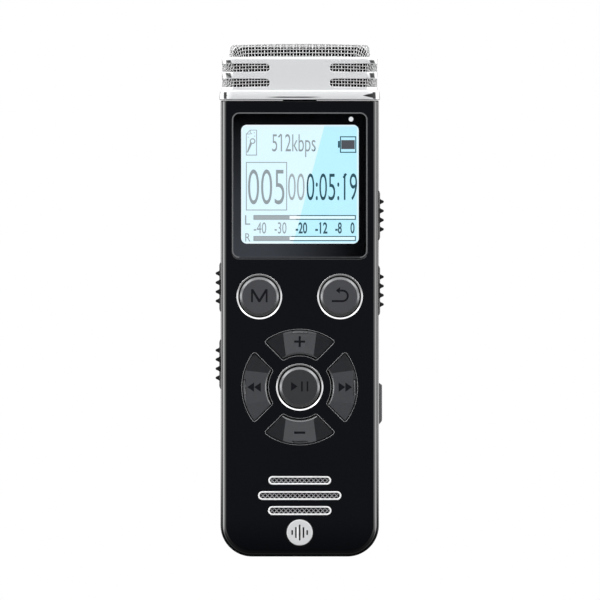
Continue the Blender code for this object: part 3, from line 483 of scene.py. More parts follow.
def clear_plate(name):
    """Clear acrylic that shows what is behind it and mirrors at a slant."""
    made, tree = new_look(name)
    polish = tree.ramp(tree.noise(900, 3.0), 0.3, 0.7, 0.02, 0.05)
    mirror = tree.node("BsdfGlossy", {"Color": WHITE, "Roughness": polish}).outputs[0]
    through = tree.node("BsdfTransparent", {"Color": (0.99, 0.995, 1, 1)}).outputs[0]
    leaving = tree.node("NewGeometry").outputs["Backfacing"]
    share = tree.node("Fresnel", {"IOR": 1.25}).outputs[0]
    share = tree.times(share, tree.math("SUBTRACT", 1.0, leaving))
    tree.surface("MixShader", {0: share, 1: through, 2: mirror})
    return made


def satin_silver(name):
    """Satin metal of the head, with painted reflections and painted shade on its corners and flange."""
    made, tree = new_look(name)
    x, _, z = tree.spot()
    nx, ny, nz = tree.normal()
    aside = tree.away(nx)
    # Painted reflection: dark bands on the corners above each slot, standing in for mirrored cards
    corner = tree.times(tree.ramp(aside, 0.2, 0.34), tree.ramp(aside, 0.78, 0.62))
    bands = [
        tree.times(tree.ramp(z, low - 0.15, low + 0.1), tree.ramp(z, high + 0.2, high - 0.1))
        for low, high in PAINTED_REFLECTION_BANDS
    ]
    cloud = tree.ramp(tree.noise(1100, 2.0), 0.3, 0.5, 0.75, 0.97)
    painted_reflection = tree.times(corner, tree.math("MAXIMUM", *bands), cloud)
    # Painted shade: a dark streak across the lower flange
    painted_streak = tree.times(
        tree.ramp(tree.away(z, 91.86), 0.17, 0.08), tree.ramp(tree.away(x, -1.2), 6.2, 2.5), 0.92
    )
    # Painted reflection: a dark line down the flange's corners
    rise = tree.away(z, 92.2)
    line = tree.times(
        tree.ramp(aside, 0.42, 0.48), tree.ramp(aside, 0.72, 0.64), tree.ramp(rise, 0.75, 0.6)
    )
    # Painted shade: a dark wedge on the flange towards its ends
    start = tree.ramp(x, -1, 1, 14.45, 12.2)
    grown = tree.ramp(tree.away(x), start, 14.9, smooth=False)
    sunk = tree.math("ADD", rise, 0.1)
    wedge = tree.ramp(sunk, tree.times(grown, 0.9), tree.times(grown, 0.5))
    wedge = tree.times(wedge, tree.ramp(aside, 0.66, 0.6))
    dark = tree.math("MAXIMUM", painted_reflection, painted_streak, line, wedge)
    plain = tree.blend(tree.noise(60, 2.0), (0.9, 0.91, 0.92, 1), (0.925, 0.935, 0.945, 1))
    # Painted shade: the sides and the faces turned away are darkened
    painted_side_shade = tree.math("MAXIMUM", tree.ramp(aside, 0.9, 0.97), tree.ramp(ny, 0.2, 0.6))
    plain = tree.blend(tree.times(painted_side_shade, 0.88), plain, (0.12, 0.123, 0.128, 1))
    # Painted shade: rounded edges and the foot of the sleeve are darker
    rounded = tree.math("MAXIMUM", tree.ramp(aside, 0.3, 0.6), tree.ramp(nz, 0.2, 0.6))
    foot = tree.ramp(z, 93.3, 93.0, 0.0, 0.06)
    plain = tree.blend(tree.math("ADD", foot, tree.times(rounded, 0.22)), plain, BLACK)
    fine = tree.noise(2600, 3.0, 0.6)
    tree.surface("BsdfPrincipled", {
        "Base Color": tree.blend(dark, plain, (0.015, 0.015, 0.016, 1)),
        "Roughness": tree.ramp(fine, 0.3, 0.7, 0.33, 0.39),
        "Metallic": 0.35,
        "Normal": tree.bump(fine, 0.0001),
    })
    return made


# Colour, roughness and further settings of every plain finish
KEY_FINISH = dict(specular=0.4, grain=(2600, 0.0001))
FINISHES = {
    # gloss_black and side_black carry painted shade: their gloss falls off towards the bottom end
    "gloss_black": (
        (0.0026, 0.0028, 0.0036), 0.06, dict(specular=1.0, grain=(700, 0.00003), fade=(-1, 9, 0.05))
    ),
    "side_black": (
        (0.004, 0.0045, 0.0055), 0.2, dict(specular=1.0, grain=(900, 0.00005), fade=(3, 32, 0.05))
    ),
    "soft_black": ((0.012, 0.012, 0.014), 0.5, dict(grain=(5200, 0.004), wear=0.3)),
    "slider_black": ((0.008, 0.008, 0.009), 0.4, dict(specular=0.6, grain=(4200, 0.002))),
    "side_key_grey": ((0.165, 0.166, 0.17), 0.35, dict(grain=(4200, 0.002))),
    "bright_rim": ((0.97, 0.97, 0.975), 0.3, dict(metallic=0.15, grain=(2600, 0.0001), mottle=0.01)),
    # The wire's shade is painted shade: it darkens the faces that turn upwards or sideways
    "wire": ((0.85, 0.85, 0.855), 0.3, dict(metallic=0.4, grain=(3500, 0.0008), mottle=0.05, shade=0.45)),
    "weave": ((0.44, 0.44, 0.45), 0.35, dict(metallic=1.0, grain=(3500, 0.0008), mottle=0.1)),
    "chrome": ((0.72, 0.72, 0.73), 0.1, dict(metallic=1.0, grain=(1200, 0.0001), mottle=0.02)),
    "key_face": ((0.072, 0.075, 0.08), 0.35, KEY_FINISH),
    "button_face": ((0.062, 0.063, 0.069), 0.35, KEY_FINISH),
    "play_face": ((0.035, 0.036, 0.039), 0.35, KEY_FINISH),
    "side_face": ((0.056, 0.058, 0.063), 0.35, KEY_FINISH),
    # The wings' finish is a darker copy of the key finish: painted shade
    "key_wing_painted_shade": ((0.0085, 0.0092, 0.0115), 0.35, KEY_FINISH),
    "key_edge": ((0.17, 0.172, 0.176), 0.25, dict(metallic=0.9, grain=(900, 0.00003))),
    "glyph": ((0.006, 0.0065, 0.009), 0.6, dict(specular=0.1, grain=(3000, 0.001))),
    "outline": ((0.14, 0.145, 0.15), 0.4, dict(specular=0.3, grain=(2200, 0.0005))),
    # A darker copy of the outline finish: painted shade along the window's lower edge
    "outline_painted_shade": ((0.035, 0.037, 0.04), 0.4, dict(specular=0.3, grain=(2200, 0.0005))),
    # The key lip is real edge geometry; its pale finish is partly a painted highlight
    "key_outline": ((0.34, 0.34, 0.35), 0.25, dict(metallic=0.7, grain=(2200, 0.0002))),
    "steel": ((0.42, 0.42, 0.44), 0.28, dict(metallic=1.0, grain=(3000, 0.001), wear=0.4)),
    "gold": ((0.85, 0.6, 0.22), 0.22, dict(metallic=1.0, grain=(3000, 0.002))),
    "socket_black": ((0.01, 0.01, 0.011), 0.4, dict(grain=(3500, 0.002))),
    "foam": ((0.004, 0.004, 0.004), 0.95, dict(specular=0.05, grain=(2400, 0.2))),
    "rubber": ((0.02, 0.02, 0.02), 0.8, dict(grain=(3600, 0.01))),
    "capsule": ((0.6, 0.6, 0.58), 0.3, dict(metallic=1.0, grain=(2800, 0.002))),
    "board": ((0.015, 0.1, 0.04), 0.35, dict(grain=(1500, 0.005), mottle=0.3)),
    "ribbon": ((0.5, 0.26, 0.06), 0.4, dict(grain=(1200, 0.002), mottle=0.2)),
    "battery": ((0.3, 0.33, 0.37), 0.35, dict(metallic=0.6, grain=(1600, 0.003))),
    "speaker": ((0.004, 0.004, 0.0045), 0.7, dict(specular=0.1, grain=(2200, 0.02))),
    "tact": ((0.5, 0.5, 0.5), 0.3, dict(metallic=1.0, grain=(2400, 0.002))),
    "switch": ((0.03, 0.03, 0.034), 0.45, dict(grain=(2600, 0.003))),
    "diffuser": ((0.8, 0.82, 0.84), 0.45, dict(grain=(1800, 0.002))),
}

# Display layers: colour left of the glare, colour right of it and further settings
LAYERS = {
    "lcd": (rgb(221, 244, 251), rgb(184, 236, 251), dict(edge=True)),
    "ink": (rgb(146, 156, 160), rgb(28, 72, 84), dict(shift=-0.75)),
    "ink_pale": (rgb(158, 167, 171), rgb(150, 160, 165), {}),
    "ink_dark": (rgb(150, 158, 162), rgb(78, 80, 86), {}),
    "bar_light": (rgb(250, 254, 255), rgb(222, 250, 255), {}),
    "led": (rgb(226, 228, 230), rgb(226, 228, 230), dict(strength=0.95)),
}

LOOKS = {name: coated(name, *first, **more) for name, (*first, more) in FINISHES.items()}
LOOKS.update({name: glowing(name, *first, **more) for name, (*first, more) in LAYERS.items()})
LOOKS.update(silver=satin_silver("silver"), window=clear_plate("window"), border=window_film("border"))


def piece(obj, look, slot, *stands_for, body=HOUSING):
    """Give a new piece its look and its body, and hide the CAD nodes it stands for."""
    obj.data.materials.clear()
    obj.data.materials.append(LOOKS[look])
    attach(obj, body)
    if stands_for:
        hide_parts(*stands_for)
    return obj


def retouched(obj, look, chosen):
    """Give another look to the faces that chosen(centre in millimetres, normal) picks."""
    obj.data.materials.append(LOOKS[look])
    for polygon in obj.data.polygons:
        if chosen(polygon.center / MM, polygon.normal):
            polygon.material_index = len(obj.data.materials) - 1


# ---------------------------------------------------------------- body

CORNER, TOP_CORNER = 6.3, 0.3
STEP = 0.5
PANEL_ROUND, PANEL_TOP_ROUND = 0.75, 0.15
HOLE_GAP = 0.03
KEY_GAP = 0.27
THROUGH = (-9.0, 9.0)
KEYS = {"forward": 0, "plus": 90, "rewind": 180, "minus": 270}
ROUND_BUTTONS = ("menu", "return", "play")
RIMS = ("grille_rim_top", "grille_rim_middle", "grille_rim_bottom")
SIDES = {"left": -1, "right": 1}
SCREWS = [f"cover_screw_{side}_{level}" for side in SIDES for level in ("low", "high")]
SLIDERS = ("record", "power", "hold", "mode")
BED_FLOOR, BED_TOP = 15.68, 15.9
SLOT_REACH = (-1.7, 3.7)
WALL = 1.2
WINDOW_CORNER = 1.35

PLAY_X, _, PLAY_Z = centre_of("play_ring")
KEY_INNER, KEY_OUTER, KEY_SIDE = 6.52, 11.3, 1.65
RING_FOOT = 0.68
RIM_INSET, RIM_WIDTH = 0.07, 0.4


def ring_radius(label):
    """Radius of the part of a trim ring that stands in the panel."""
    low, high = extent(f"{label}_ring")[0]
    return (high - low) / 2 - RING_FOOT


def body_ring(inset, top_inset, y, step=0.0, top=None):
    """Outline of the body moved inwards, as a ring at depth y."""
    half = extent("mid_frame")[0][1] - step
    high = extent("mid_frame")[2][1] if top is None else top
    corner = CORNER - step
    top_corner = max(TOP_CORNER - step - inset, 0.12)
    outline = rounded_rectangle(
        (inset - half, half - inset),
        (step + inset, high - top_inset),
        corner - inset,
        top_corner,
        steps=20,
    )
    return [(x, y, z) for x, z in outline]


def sector(inner, outer, side_offset, direction, rounding):
    """Quarter ring round the play button, with rounded corners."""

    def sweep(radius, half, sign, steps):
        near = math.degrees(1.2 / radius)
        inside = half - near
        turns = [-half] + [-inside + 2 * inside * i / steps for i in range(steps + 1)] + [half]
        angles = [math.radians(direction + sign * turn) for turn in turns]
        return [(PLAY_X + radius * math.cos(a), PLAY_Z + radius * math.sin(a)) for a in angles]

    half_outer = 45 - math.degrees(math.asin(side_offset / outer))
    half_inner = 45 - math.degrees(math.asin(side_offset / inner))
    points = sweep(outer, half_outer, 1, 36) + sweep(inner, half_inner, -1, 24)
    return softened(points, rounding)


def window_outline(inset, low=None, steps=16):
    """Outline of the display window moved inwards, with its lower edge apart if given."""
    (left, right), _, (bottom, top) = extent("display_window")
    low = bottom if low is None else low
    spans = (left + inset, right - inset), (low + inset, top - inset)
    return rounded_rectangle(*spans, WINDOW_CORNER - inset, steps=steps)


def key_outline(label, gap, rounding):
    """Outline of a sector key made larger by a gap all round."""
    return sector(KEY_INNER - gap, KEY_OUTER + gap, KEY_SIDE - gap, KEYS[label], rounding)


def slider_place(label):
    """Side, middle height and recess span of a slider."""
    xs, _, (low, high) = extent(f"{label}_slider")
    return 1 if xs[1] > 0 else -1, (low + high) / 2, (low - 0.05, high + 0.05)


def make_panel():
    """Gloss front panel with rounded long edges and an opening for every control."""
    _, ys, zs = extent("front_shell")
    rings = [body_ring(0, 0, ys[0] + 1.0, STEP, zs[1])]
    for inset, depth in fillet(PANEL_ROUND, 12):
        top_inset = inset / PANEL_ROUND * PANEL_TOP_ROUND
        rings.append(body_ring(inset, top_inset, ys[0] + depth, STEP, zs[1]))
    panel = loft("front_panel", rings)
    tight, openings = [], []
    for label in ROUND_BUTTONS:
        x, _, z = centre_of(f"{label}_ring")
        outline = circle(x, z, ring_radius(label) + HOLE_GAP)
        tight.append(prism(f"{label}_hole", outline, THROUGH))
    for label in KEYS:
        openings.append(prism(f"{label}_hole", key_outline(label, KEY_GAP, 0.5), THROUGH))
    for name in RIMS:
        (left, right), _, (low, high) = extent(name)
        more = 2 * (HOLE_GAP - RIM_INSET)
        outline = stadium(0, (low + high) / 2, right - left + more, high - low + more)
        tight.append(prism(f"{name}_hole", outline, THROUGH))
    (left, right), (_, back), (low, high) = extent("badge")
    outline = circle(0, (low + high) / 2, (right - left) / 2 + 0.08)
    openings.append(prism("badge_hole", outline, (THROUGH[0], back + 0.1)))
    seat = window_outline(-0.1, steps=12)
    back = extent("display_window")[1][1]
    openings.append(prism("window_seat", seat, (THROUGH[0], back + 0.05)))
    carved(panel, merged("openings", openings))
    lit = rounded_rectangle(around(0, 12.2), (62.2, 86.6), 1.0)
    led_x, _, led_z = centre_of("led_light_pipe")
    led_hole = prism("led_opening", circle(led_x, led_z, 0.56, 48), THROUGH)
    carved(panel, prism("lit_opening", lit, THROUGH), led_hole)
    bevelled(panel, 0.09, 3)
    carved(panel, merged("tight_openings", tight))
    piece(shaded(panel), "gloss_black", "gloss_black", "front_shell")


def make_key_outlines():
    """Thin lip round the opening of every sector key; its pale colour is a painted highlight on the
    opening's edge.
    """
    front = extent("front_shell")[1][0]
    section = (0.32, 0.1), (0.32, -0.01), (0.3, -0.03), (0.26, -0.03), (0.23, 0), (0.23, 0.1)
    section = [(gap, front + sunk) for gap, sunk in section]
    for label in KEYS:
        lip = band(f"{label}_outline", lambda gap: key_outline(label, gap, 0.23 + gap), section)
        piece(shaded(lip, 50), "key_outline", "gloss_black")


def make_frame():
    """Side walls with rounded long edges and an opening at every control and socket."""
    _, (front, back), _ = extent("mid_frame")
    edge, last = 0.7, math.radians(70)
    turns = [last * i / 9 for i in range(10)]
    bend = [(edge * (1 - math.cos(a)), edge * (math.sin(last) - math.sin(a))) for a in turns]
    rings = [body_ring(inset, inset, front + depth) for inset, depth in bend[::-1]]
    rings += [body_ring(inset, inset, back - depth) for inset, depth in bend]
    walls = loft("side_frame", rings)
    cavity = loft("cavity", [body_ring(WALL, WALL, y) for y in THROUGH])
    openings, recesses = [], []
    for label in SLIDERS:
        side, z, span = slider_place(label)
        slot_z = z + SLOT_REACH[0], z + SLOT_REACH[1]
        openings.append(block(f"{label}_slot", mirrored(side, 13, 17), around(0, 1.05), slot_z))
        recess_x = mirrored(side, BED_FLOOR, 17)
        recesses.append(block(f"{label}_recess", recess_x, THROUGH, span))
    z = centre_of("side_key")[2]
    openings.append(block("side_key_slot", (13, 17), around(0, 1.6), around(z, 4.3)))
    for name in ("headphone_jack", "microphone_jack"):
        x, y, _ = centre_of(name)
        openings.append(prism(f"{name}_hole", circle(x, y, 2.25, 64), (-3, 3), upright=True))
    x, y, _ = centre_of("usb_socket")
    outline = rounded_rectangle(around(x, 3.95), around(y, 1.55), 0.6)
    openings.append(prism("usb_hole", outline, (-3, 3), upright=True))
    carved(walls, cavity, merged("wall_openings", openings), merged("wall_recesses", recesses))
    bevelled(walls, 0.06, 2)
    piece(shaded(walls), "side_black", "matte_black", "mid_frame")


def make_cover():
    """Back cover with soft edges and four countersunk screw seats."""
    _, (_, back), (_, high) = extent("rear_cover")
    edge = 1.0
    rings = [body_ring(0, 0, 4.3, STEP, high)]
    for inset, depth in fillet(edge, 12):
        rings.append(body_ring(inset, inset / edge * 0.5, back - depth, STEP, high))
    cover = loft("back_cover", rings)
    profile = [(1.35, 6.5), (1.35, 5.3), (0.7, 4.7), (0.7, 3.0)]
    seats = []
    for node in SCREWS:
        x, _, z = centre_of(node)
        seats.append(turned(f"seat_{node}", profile, (x, 0, z), "back", 64))
    carved(cover, merged("seats", seats))
    bevelled(cover, 0.07, 2)
    piece(shaded(cover), "soft_black", "matte_black", "rear_cover")


def make_screws():
    """Four countersunk screws with a cross recess."""
    for node in SCREWS:
        x, _, z = centre_of(node)
        tip, top = extent(node)[1]
        profile = [(1.02, top), (1.15, top - 0.06), (1.15, top - 0.2), (0.6, top - 0.78)]
        profile += [(0.55, top - 1.0), (0.55, tip + 0.4), (0.28, tip)]
        screw = turned(node.replace("cover_", ""), profile, (x, 0, z), "back", 48)
        recess_y = (top - 0.42, top + 1)
        bars = [
            block("bar", around(x, wide), recess_y, around(z, tall))
            for wide, tall in ((0.62, 0.13), (0.13, 0.62))
        ]
        carved(screw, *bars)
        bevelled(screw, 0.03, 2)
        piece(shaded(screw), "steel", "steel", node)


make_panel()
make_key_outlines()
make_frame()
make_cover()
make_screws()

# ---------------------------------------------------------------- microphone head

SLOTS = ((93.9, 95.55), (96.95, 98.55))
SLOT_END = 6.0
CAP = (15.55, 5.2, 2.3)
FLANGE_TOP = 93.2


def plan_ring(half_width, half_depth, corner, z, steps=16):
    """Rounded plan of the head as a ring at height z."""
    y = centre_of("head_cap")[1]
    outline = rounded_rectangle(around(0, half_width), around(y, half_depth), corner, steps=steps)
    return [(u, v, z) for u, v in outline]


def make_head():
    """Silver sleeve: flared foot, plain wall, rounded shoulder, open top and side slots."""
    (_, flange_x), (_, flange_y), (low, high) = extent("head_cap")
    flange_y -= centre_of("head_cap")[1]
    flange_corner, lean, waist, wall = 2.6, 0.12, 0.1, 0.6
    cap_x, cap_y, cap_corner = CAP
    insets = [(inset, low + depth) for inset, depth in fillet(0.07, 4)[::-1]]
    for step in range(1, 6):
        rise = (FLANGE_TOP - 0.35 - low) * step / 6
        insets.append((lean * (step / 6) ** 2, low + 0.07 + rise))
    insets += [(inset + lean, FLANGE_TOP - depth) for inset, depth in fillet(0.25, 6)]
    rings = [(flange_x - i, flange_y - i, flange_corner - i, z) for i, z in insets]
    for step in range(7):
        a = math.pi / 2 * step / 6
        out = waist * (1 - math.sin(a))
        z = FLANGE_TOP + waist * (1 - math.cos(a)) + 0.002
        rings.append((cap_x + out, cap_y + out, cap_corner + out, z))
    for inset, depth in fillet(0.55, 10):
        rings.append((cap_x - inset, cap_y - inset, cap_corner - inset, high - depth))
    sleeve = loft("head_sleeve", [plan_ring(*ring) for ring in rings])
    inner = [size - wall for size in CAP]
    cavity = loft("head_cavity", [plan_ring(*inner, z) for z in (80, high - wall)])
    mouth = loft("head_mouth", [plan_ring(14.3, 4.0, 2.9, z) for z in (97.5, 105)])
    cutters = [
        prism("slot", stadium(sign * (SLOT_END + 7), (low + high) / 2, 14, high - low), THROUGH)
        for sign in SIDES.values()
        for low, high in SLOTS
    ]
    carved(sleeve, cavity)
    carved(sleeve, mouth)
    carved(sleeve, merged("slots", cutters))
    bevelled(sleeve, 0.09, 3, 60)
    piece(shaded(sleeve), "silver", "satin_silver", "head_cap")


WIRE = 0.065
WEAVE = 0.1
PITCH_ACROSS, PITCH_ALONG = 0.64, 0.7


def unit(vectors):
    return vectors / np.maximum(np.linalg.norm(vectors, axis=1)[:, None], 1e-9)


def woven(name, place, across, along, keep, pitches, radius=WIRE, weave=WEAVE):
    """Two families of wires that pass over and under each other on a surface.

    place maps sheet coordinates (s, t) to points and normals.  across and along are the
    sheet's half sizes, and keep says which points of a wire stay.
    """
    verts, faces, sides = [], [], 6
    turn = np.linspace(0, 2 * np.pi, sides, endpoint=False)
    for family in (0, 1):
        fixed_pitch, run_pitch = pitches[family], pitches[1 - family]
        fixed_half, run_half = (across, along) if family == 0 else (along, across)
        lines = int(fixed_half / fixed_pitch)
        run = np.arange(-run_half, run_half, run_pitch / 4)
        for line in range(-lines, lines + 1):
            fixed = np.full(len(run), line * fixed_pitch)
            points, normals = place(*((fixed, run) if family == 0 else (run, fixed)))
            wave = (1 - 2 * family) * weave * np.cos(np.pi * (run / run_pitch + line))
            points = points + normals * wave[:, None]
            stays = keep(points)
            edges = np.flatnonzero(np.diff(np.concatenate([[0], stays.view(np.int8), [0]])))
            for first, last in zip(edges[::2], edges[1::2]):
                if last - first < 3:
                    continue
                run_points, up = points[first:last], normals[first:last]
                ahead = unit(np.gradient(run_points, axis=0))
                side = unit(np.cross(ahead, up))
                up = np.cross(side, ahead)
                ring = (
                    run_points[:, None, :]
                    + radius * np.cos(turn)[None, :, None] * up[:, None, :]
                    + radius * np.sin(turn)[None, :, None] * side[:, None, :]
                )
                faces += skin(len(ring), sides, len(verts))
                verts += ring.reshape(-1, 3).tolist()
    return mesh_from(name, verts, faces)


def draped(half_width, half_depth, corner, profile):
    """Map of a flat sheet drawn over a rounded box: rows sink and crowd at the corners."""
    s0, t0 = half_width - corner, half_depth - corner
    y = centre_of("head_cap")[1]

    def place(s, t):
        near_s, near_t = np.clip(s, -s0, s0), np.clip(t, -t0, t0)
        out_s, out_t = s - near_s, t - near_t
        rho = np.hypot(out_s, out_t)
        safe = np.maximum(rho, 1e-9)
        dir_s, dir_t = out_s / safe, out_t / safe
        reach, height, lean, rise = profile(rho)
        crown = 0.3 * (near_s / half_width) ** 2
        points = np.stack([near_s + dir_s * reach, y + near_t + dir_t * reach, height - crown], axis=1)
        normals = np.stack([dir_s * lean, dir_t * lean, rise], axis=1)
        return points, normals

    return place


def make_dome():
    """Wire basket: a woven sheet drawn over a rounded dome."""
    top = extent("mic_mesh")[2][1] - WIRE - WEAVE
    corner, edge = 3.0, 0.6
    lean = math.radians(84)
    half_width, half_depth = 13.8, 3.5
    start = corner - edge

    def profile(rho):
        angle = np.clip((rho - start) / edge, 0, lean)
        down = np.maximum(rho - start - edge * lean, 0)
        reach = np.minimum(rho, start) + edge * np.sin(angle) + down * math.cos(lean)
        height = top - edge * (1 - np.cos(angle)) - down * math.sin(lean)
        return reach, height, np.sin(angle), np.cos(angle)

    def keep(points):
        return points[:, 2] > 99.0

    place = draped(half_width, half_depth, corner, profile)
    dome = woven("wire_dome", place, 18.5, 8.5, keep, (PITCH_ACROSS, PITCH_ALONG))
    piece(shaded(dome, 60), "wire", "wire", "mic_mesh")


def make_slot_mesh():
    """Woven strips that fill the slots, flush with the sleeve's wall."""
    sunk = 0.16
    half_width, half_depth, corner = (size - sunk for size in CAP)
    for number, (bottom, top) in enumerate(SLOTS):
        middle, radius = (bottom + top) / 2, (top - bottom) / 2

        def profile(rho):
            height = top + 1.5 - np.maximum(rho - corner, 0)
            return np.minimum(rho, corner), height, np.ones_like(rho), np.zeros_like(rho)

        for side, sign in SIDES.items():

            def keep(points):
                z = points[:, 2] - middle
                inside = np.abs(z) < radius + 0.05
                x = sign * points[:, 0] - SLOT_END - radius
                round_end = np.hypot(np.minimum(x, 0), z) < radius + 0.05
                return inside & round_end & (x > -2 * radius)

            place = draped(half_width, half_depth, corner, profile)
            name = f"wire_strip_{side}_{number}"
            strip = woven(name, place, 20.0, 9.5, keep, (0.6, 0.62), 0.059, 0.09)
            piece(shaded(strip, 60), "wire", "wire")


def make_lining():
    """Black cloth sleeve behind the slots' mesh."""
    outer, inner, low, high = (14.8, 4.45, 1.6), (14.65, 4.3, 1.6), 93.3, 99.2
    corners = (outer, low), (outer, high), (inner, high), (inner, low)
    rings = [plan_ring(*size, z) for size, z in corners]
    piece(shaded(loft("cloth_lining", rings, closed=True)), "foam", "foam")


make_head()
make_dome()
make_slot_mesh()
make_lining()

# ---------------------------------------------------------------- display


def text(name, words, x_span, z_span, y_span, weight=0.0):
    """Words in the built-in type, fitted to a box and pushed along y."""
    curve = bpy.data.curves.new(name, "FONT")
    curve.body, curve.offset, curve.resolution_u = words, weight, 6
    obj = object_from(name, curve)
    flat = baked(obj)
    bpy.data.objects.remove(obj, do_unlink=True)
    bm = bmesh.new()
    bm.from_mesh(flat)
    bmesh.ops.remove_doubles(bm, verts=bm.verts, dist=1e-5)
    co = np.array([v.co[:2] for v in bm.verts])
    shares = (co - co.min(0)) / np.ptp(co, axis=0)
    low, high = np.transpose([x_span, z_span]) * MM
    for v, (x, z) in zip(bm.verts, low + shares * (high - low)):
        v.co = (x, y_span[1] * MM, z)
    front = bmesh.ops.extrude_face_region(bm, geom=bm.faces[:])
    for element in front["geom"]:
        if isinstance(element, bmesh.types.BMVert):
            element.co.y = y_span[0] * MM
    bmesh.ops.recalc_face_normals(bm, faces=bm.faces)
    return object_of(name, bm)


def frame_lines(x_span, z_span, width):
    """Four thin bars round a box, as (x span, z span) pairs."""
    (left, right), (low, high) = x_span, z_span
    return [
        ((left, right), (high - width, high)),
        ((left, right), (low, low + width)),
        ((left, left + width), (low + width, high - width)),
        ((right - width, right), (low + width, high - width)),
    ]


def make_display():
    """Window plate, its outline and printed border, the status light and the display."""
    _, (front, back), (low, _) = extent("display_window")
    levels = (0, back), (0, front + 0.1), (0.1, front)
    window = loft("window_plate", [at_depth(window_outline(inset), y) for inset, y in levels])
    piece(shaded(window), "window", "window", "display_window")

    low += 0.22
    section = (-0.1, 0), (-0.1, 0.05), (-0.04, 0.08), (0.08, 0.08), (0.14, 0.05), (0.14, 0)
    section = [(inset, front - rise) for inset, rise in section]
    bezel = band("window_outline", lambda inset: window_outline(inset, low), section)
    piece(shaded(bezel, 50), "outline", "window")
    # Painted shade: the outline is darker along the window's lower edge
    retouched(bezel, "outline_painted_shade", lambda spot, _: spot.z < low + 0.5 and abs(spot.x) < 12)

    film = prism("window_border", window_outline(0.02, steps=12), (back + 0.005, back + 0.03))
    lit = rounded_rectangle((-11.7, 11.8), (62.6, 86.34), 1.1)
    led_x, _, led_z = centre_of("led_light_pipe")
    led_hole = prism("led_hole", circle(led_x, led_z, 0.5, 48), THROUGH)
    carved(film, prism("lit_area", lit, THROUGH), led_hole)
    piece(shaded(film), "border", "window")

    tip, root = extent("led_light_pipe")[1]
    profile = [(0.46, -root), (0.46, -tip - 0.12), (0.38, -tip - 0.03), (0.25, -tip)]
    pipe = turned("status_light", profile, (led_x, 0, led_z), steps=48)
    piece(shaded(pipe), "led", "clear", "led_light_pipe")

    glass_x, glass_y, glass_z = extent("lcd_glass")
    glass = prism("lcd_panel", rounded_rectangle(glass_x, glass_z, 0.3), glass_y)
    bevelled(glass, 0.08, 2)
    piece(shaded(glass), "lcd", "display", "lcd_glass")
    make_readings((glass_y[0] - 0.05, glass_y[0] - 0.01))


def make_readings(y_span):
    """Printed layer of the display: time, file number, bit rate, battery and meters."""
    big, small = (71.26, 76.64), (64.6, 66.86)
    words = {
        "rate": ("512kbps", (-5.51, 3.17), (79.9, 84.5), -0.004, "ink"),
        "file_number": ("005", (-10.33, -3.07), (70.44, 77.44), -0.008, "ink"),
        "time": ("0:05:19", (1.39, 11.48), big, -0.004, "ink"),
        "meter_left": ("L", (-10.93, -9.89), (66.38, 68.28), 0.0, "ink"),
        "meter_right": ("R", (-10.89, -9.85), (63.02, 64.66), 0.0, "ink"),
        "scale_40": ("-40", (-9.19, -6.69), small, 0.0, "ink"),
        "scale_30": ("-30", (-5.03, -2.65), small, 0.0, "ink"),
        "scale_20": ("-20", (-0.81, 1.49), small, 0.02, "ink"),
        "scale_12": ("-12", (3.11, 5.55), small, 0.02, "ink"),
        "scale_8": ("-8", (7.11, 8.41), small, 0.02, "ink"),
        "scale_0": ("0", (10.15, 10.97), small, 0.02, "ink"),
        "hours": ("00", (-2.32, 0.97), big, -0.008, "ink_pale"),
    }
    for name, (body, xs, zs, weight, look) in words.items():
        piece(text(f"lcd_{name}", body, xs, zs, y_span, weight), look, "display")
    meters = (67.36, 68.3), (63.12, 64.12)
    meter_bars = [bar for zs in meters for bar in frame_lines((-9.25, 11.23), zs, 0.2)]
    inside = [(low + 0.19, high - 0.19) for low, high in meters]
    bars = {
        "file_box": ("ink", frame_lines((-10.75, -2.53), (69.24, 78.92), 0.16)),
        "meter_bars": ("ink", meter_bars),
        "battery_case": (
            "ink", frame_lines((8.05, 11.31), (80.76, 84.06), 0.2) + [((7.65, 8.02), (81.78, 83.12))]
        ),
        "battery_fill": ("ink_dark", [((8.31, 11.01), (81.5, 83.3))]),
        "meter_fill": ("ink_pale", [((-9.06, -2.03), zs) for zs in inside]),
        "meter_rest": ("bar_light", [((-2.01, 11.04), zs) for zs in inside]),
    }
    for name, (look, spans) in bars.items():
        made = [block("bar", xs, y_span, zs) for xs, zs in spans]
        piece(merged(f"lcd_{name}", made), look, "display")
    # The built-in type's 1 is a plain stroke, so each gets a short flag
    flags = {
        "flag_time": ((9.3, 76.6), (8.75, 75.75), 0.4),
        "flag_rate": ((-3.74, 84.5), (-4.25, 83.85), 0.3),
        "flag_scale": ((4.23, 66.84), (3.95, 66.45), 0.25),
    }
    for name, (first, last, width) in flags.items():
        piece(prism(f"lcd_{name}", stroked([first, last], width), y_span), "ink", "display")
    make_memo_symbol(y_span)


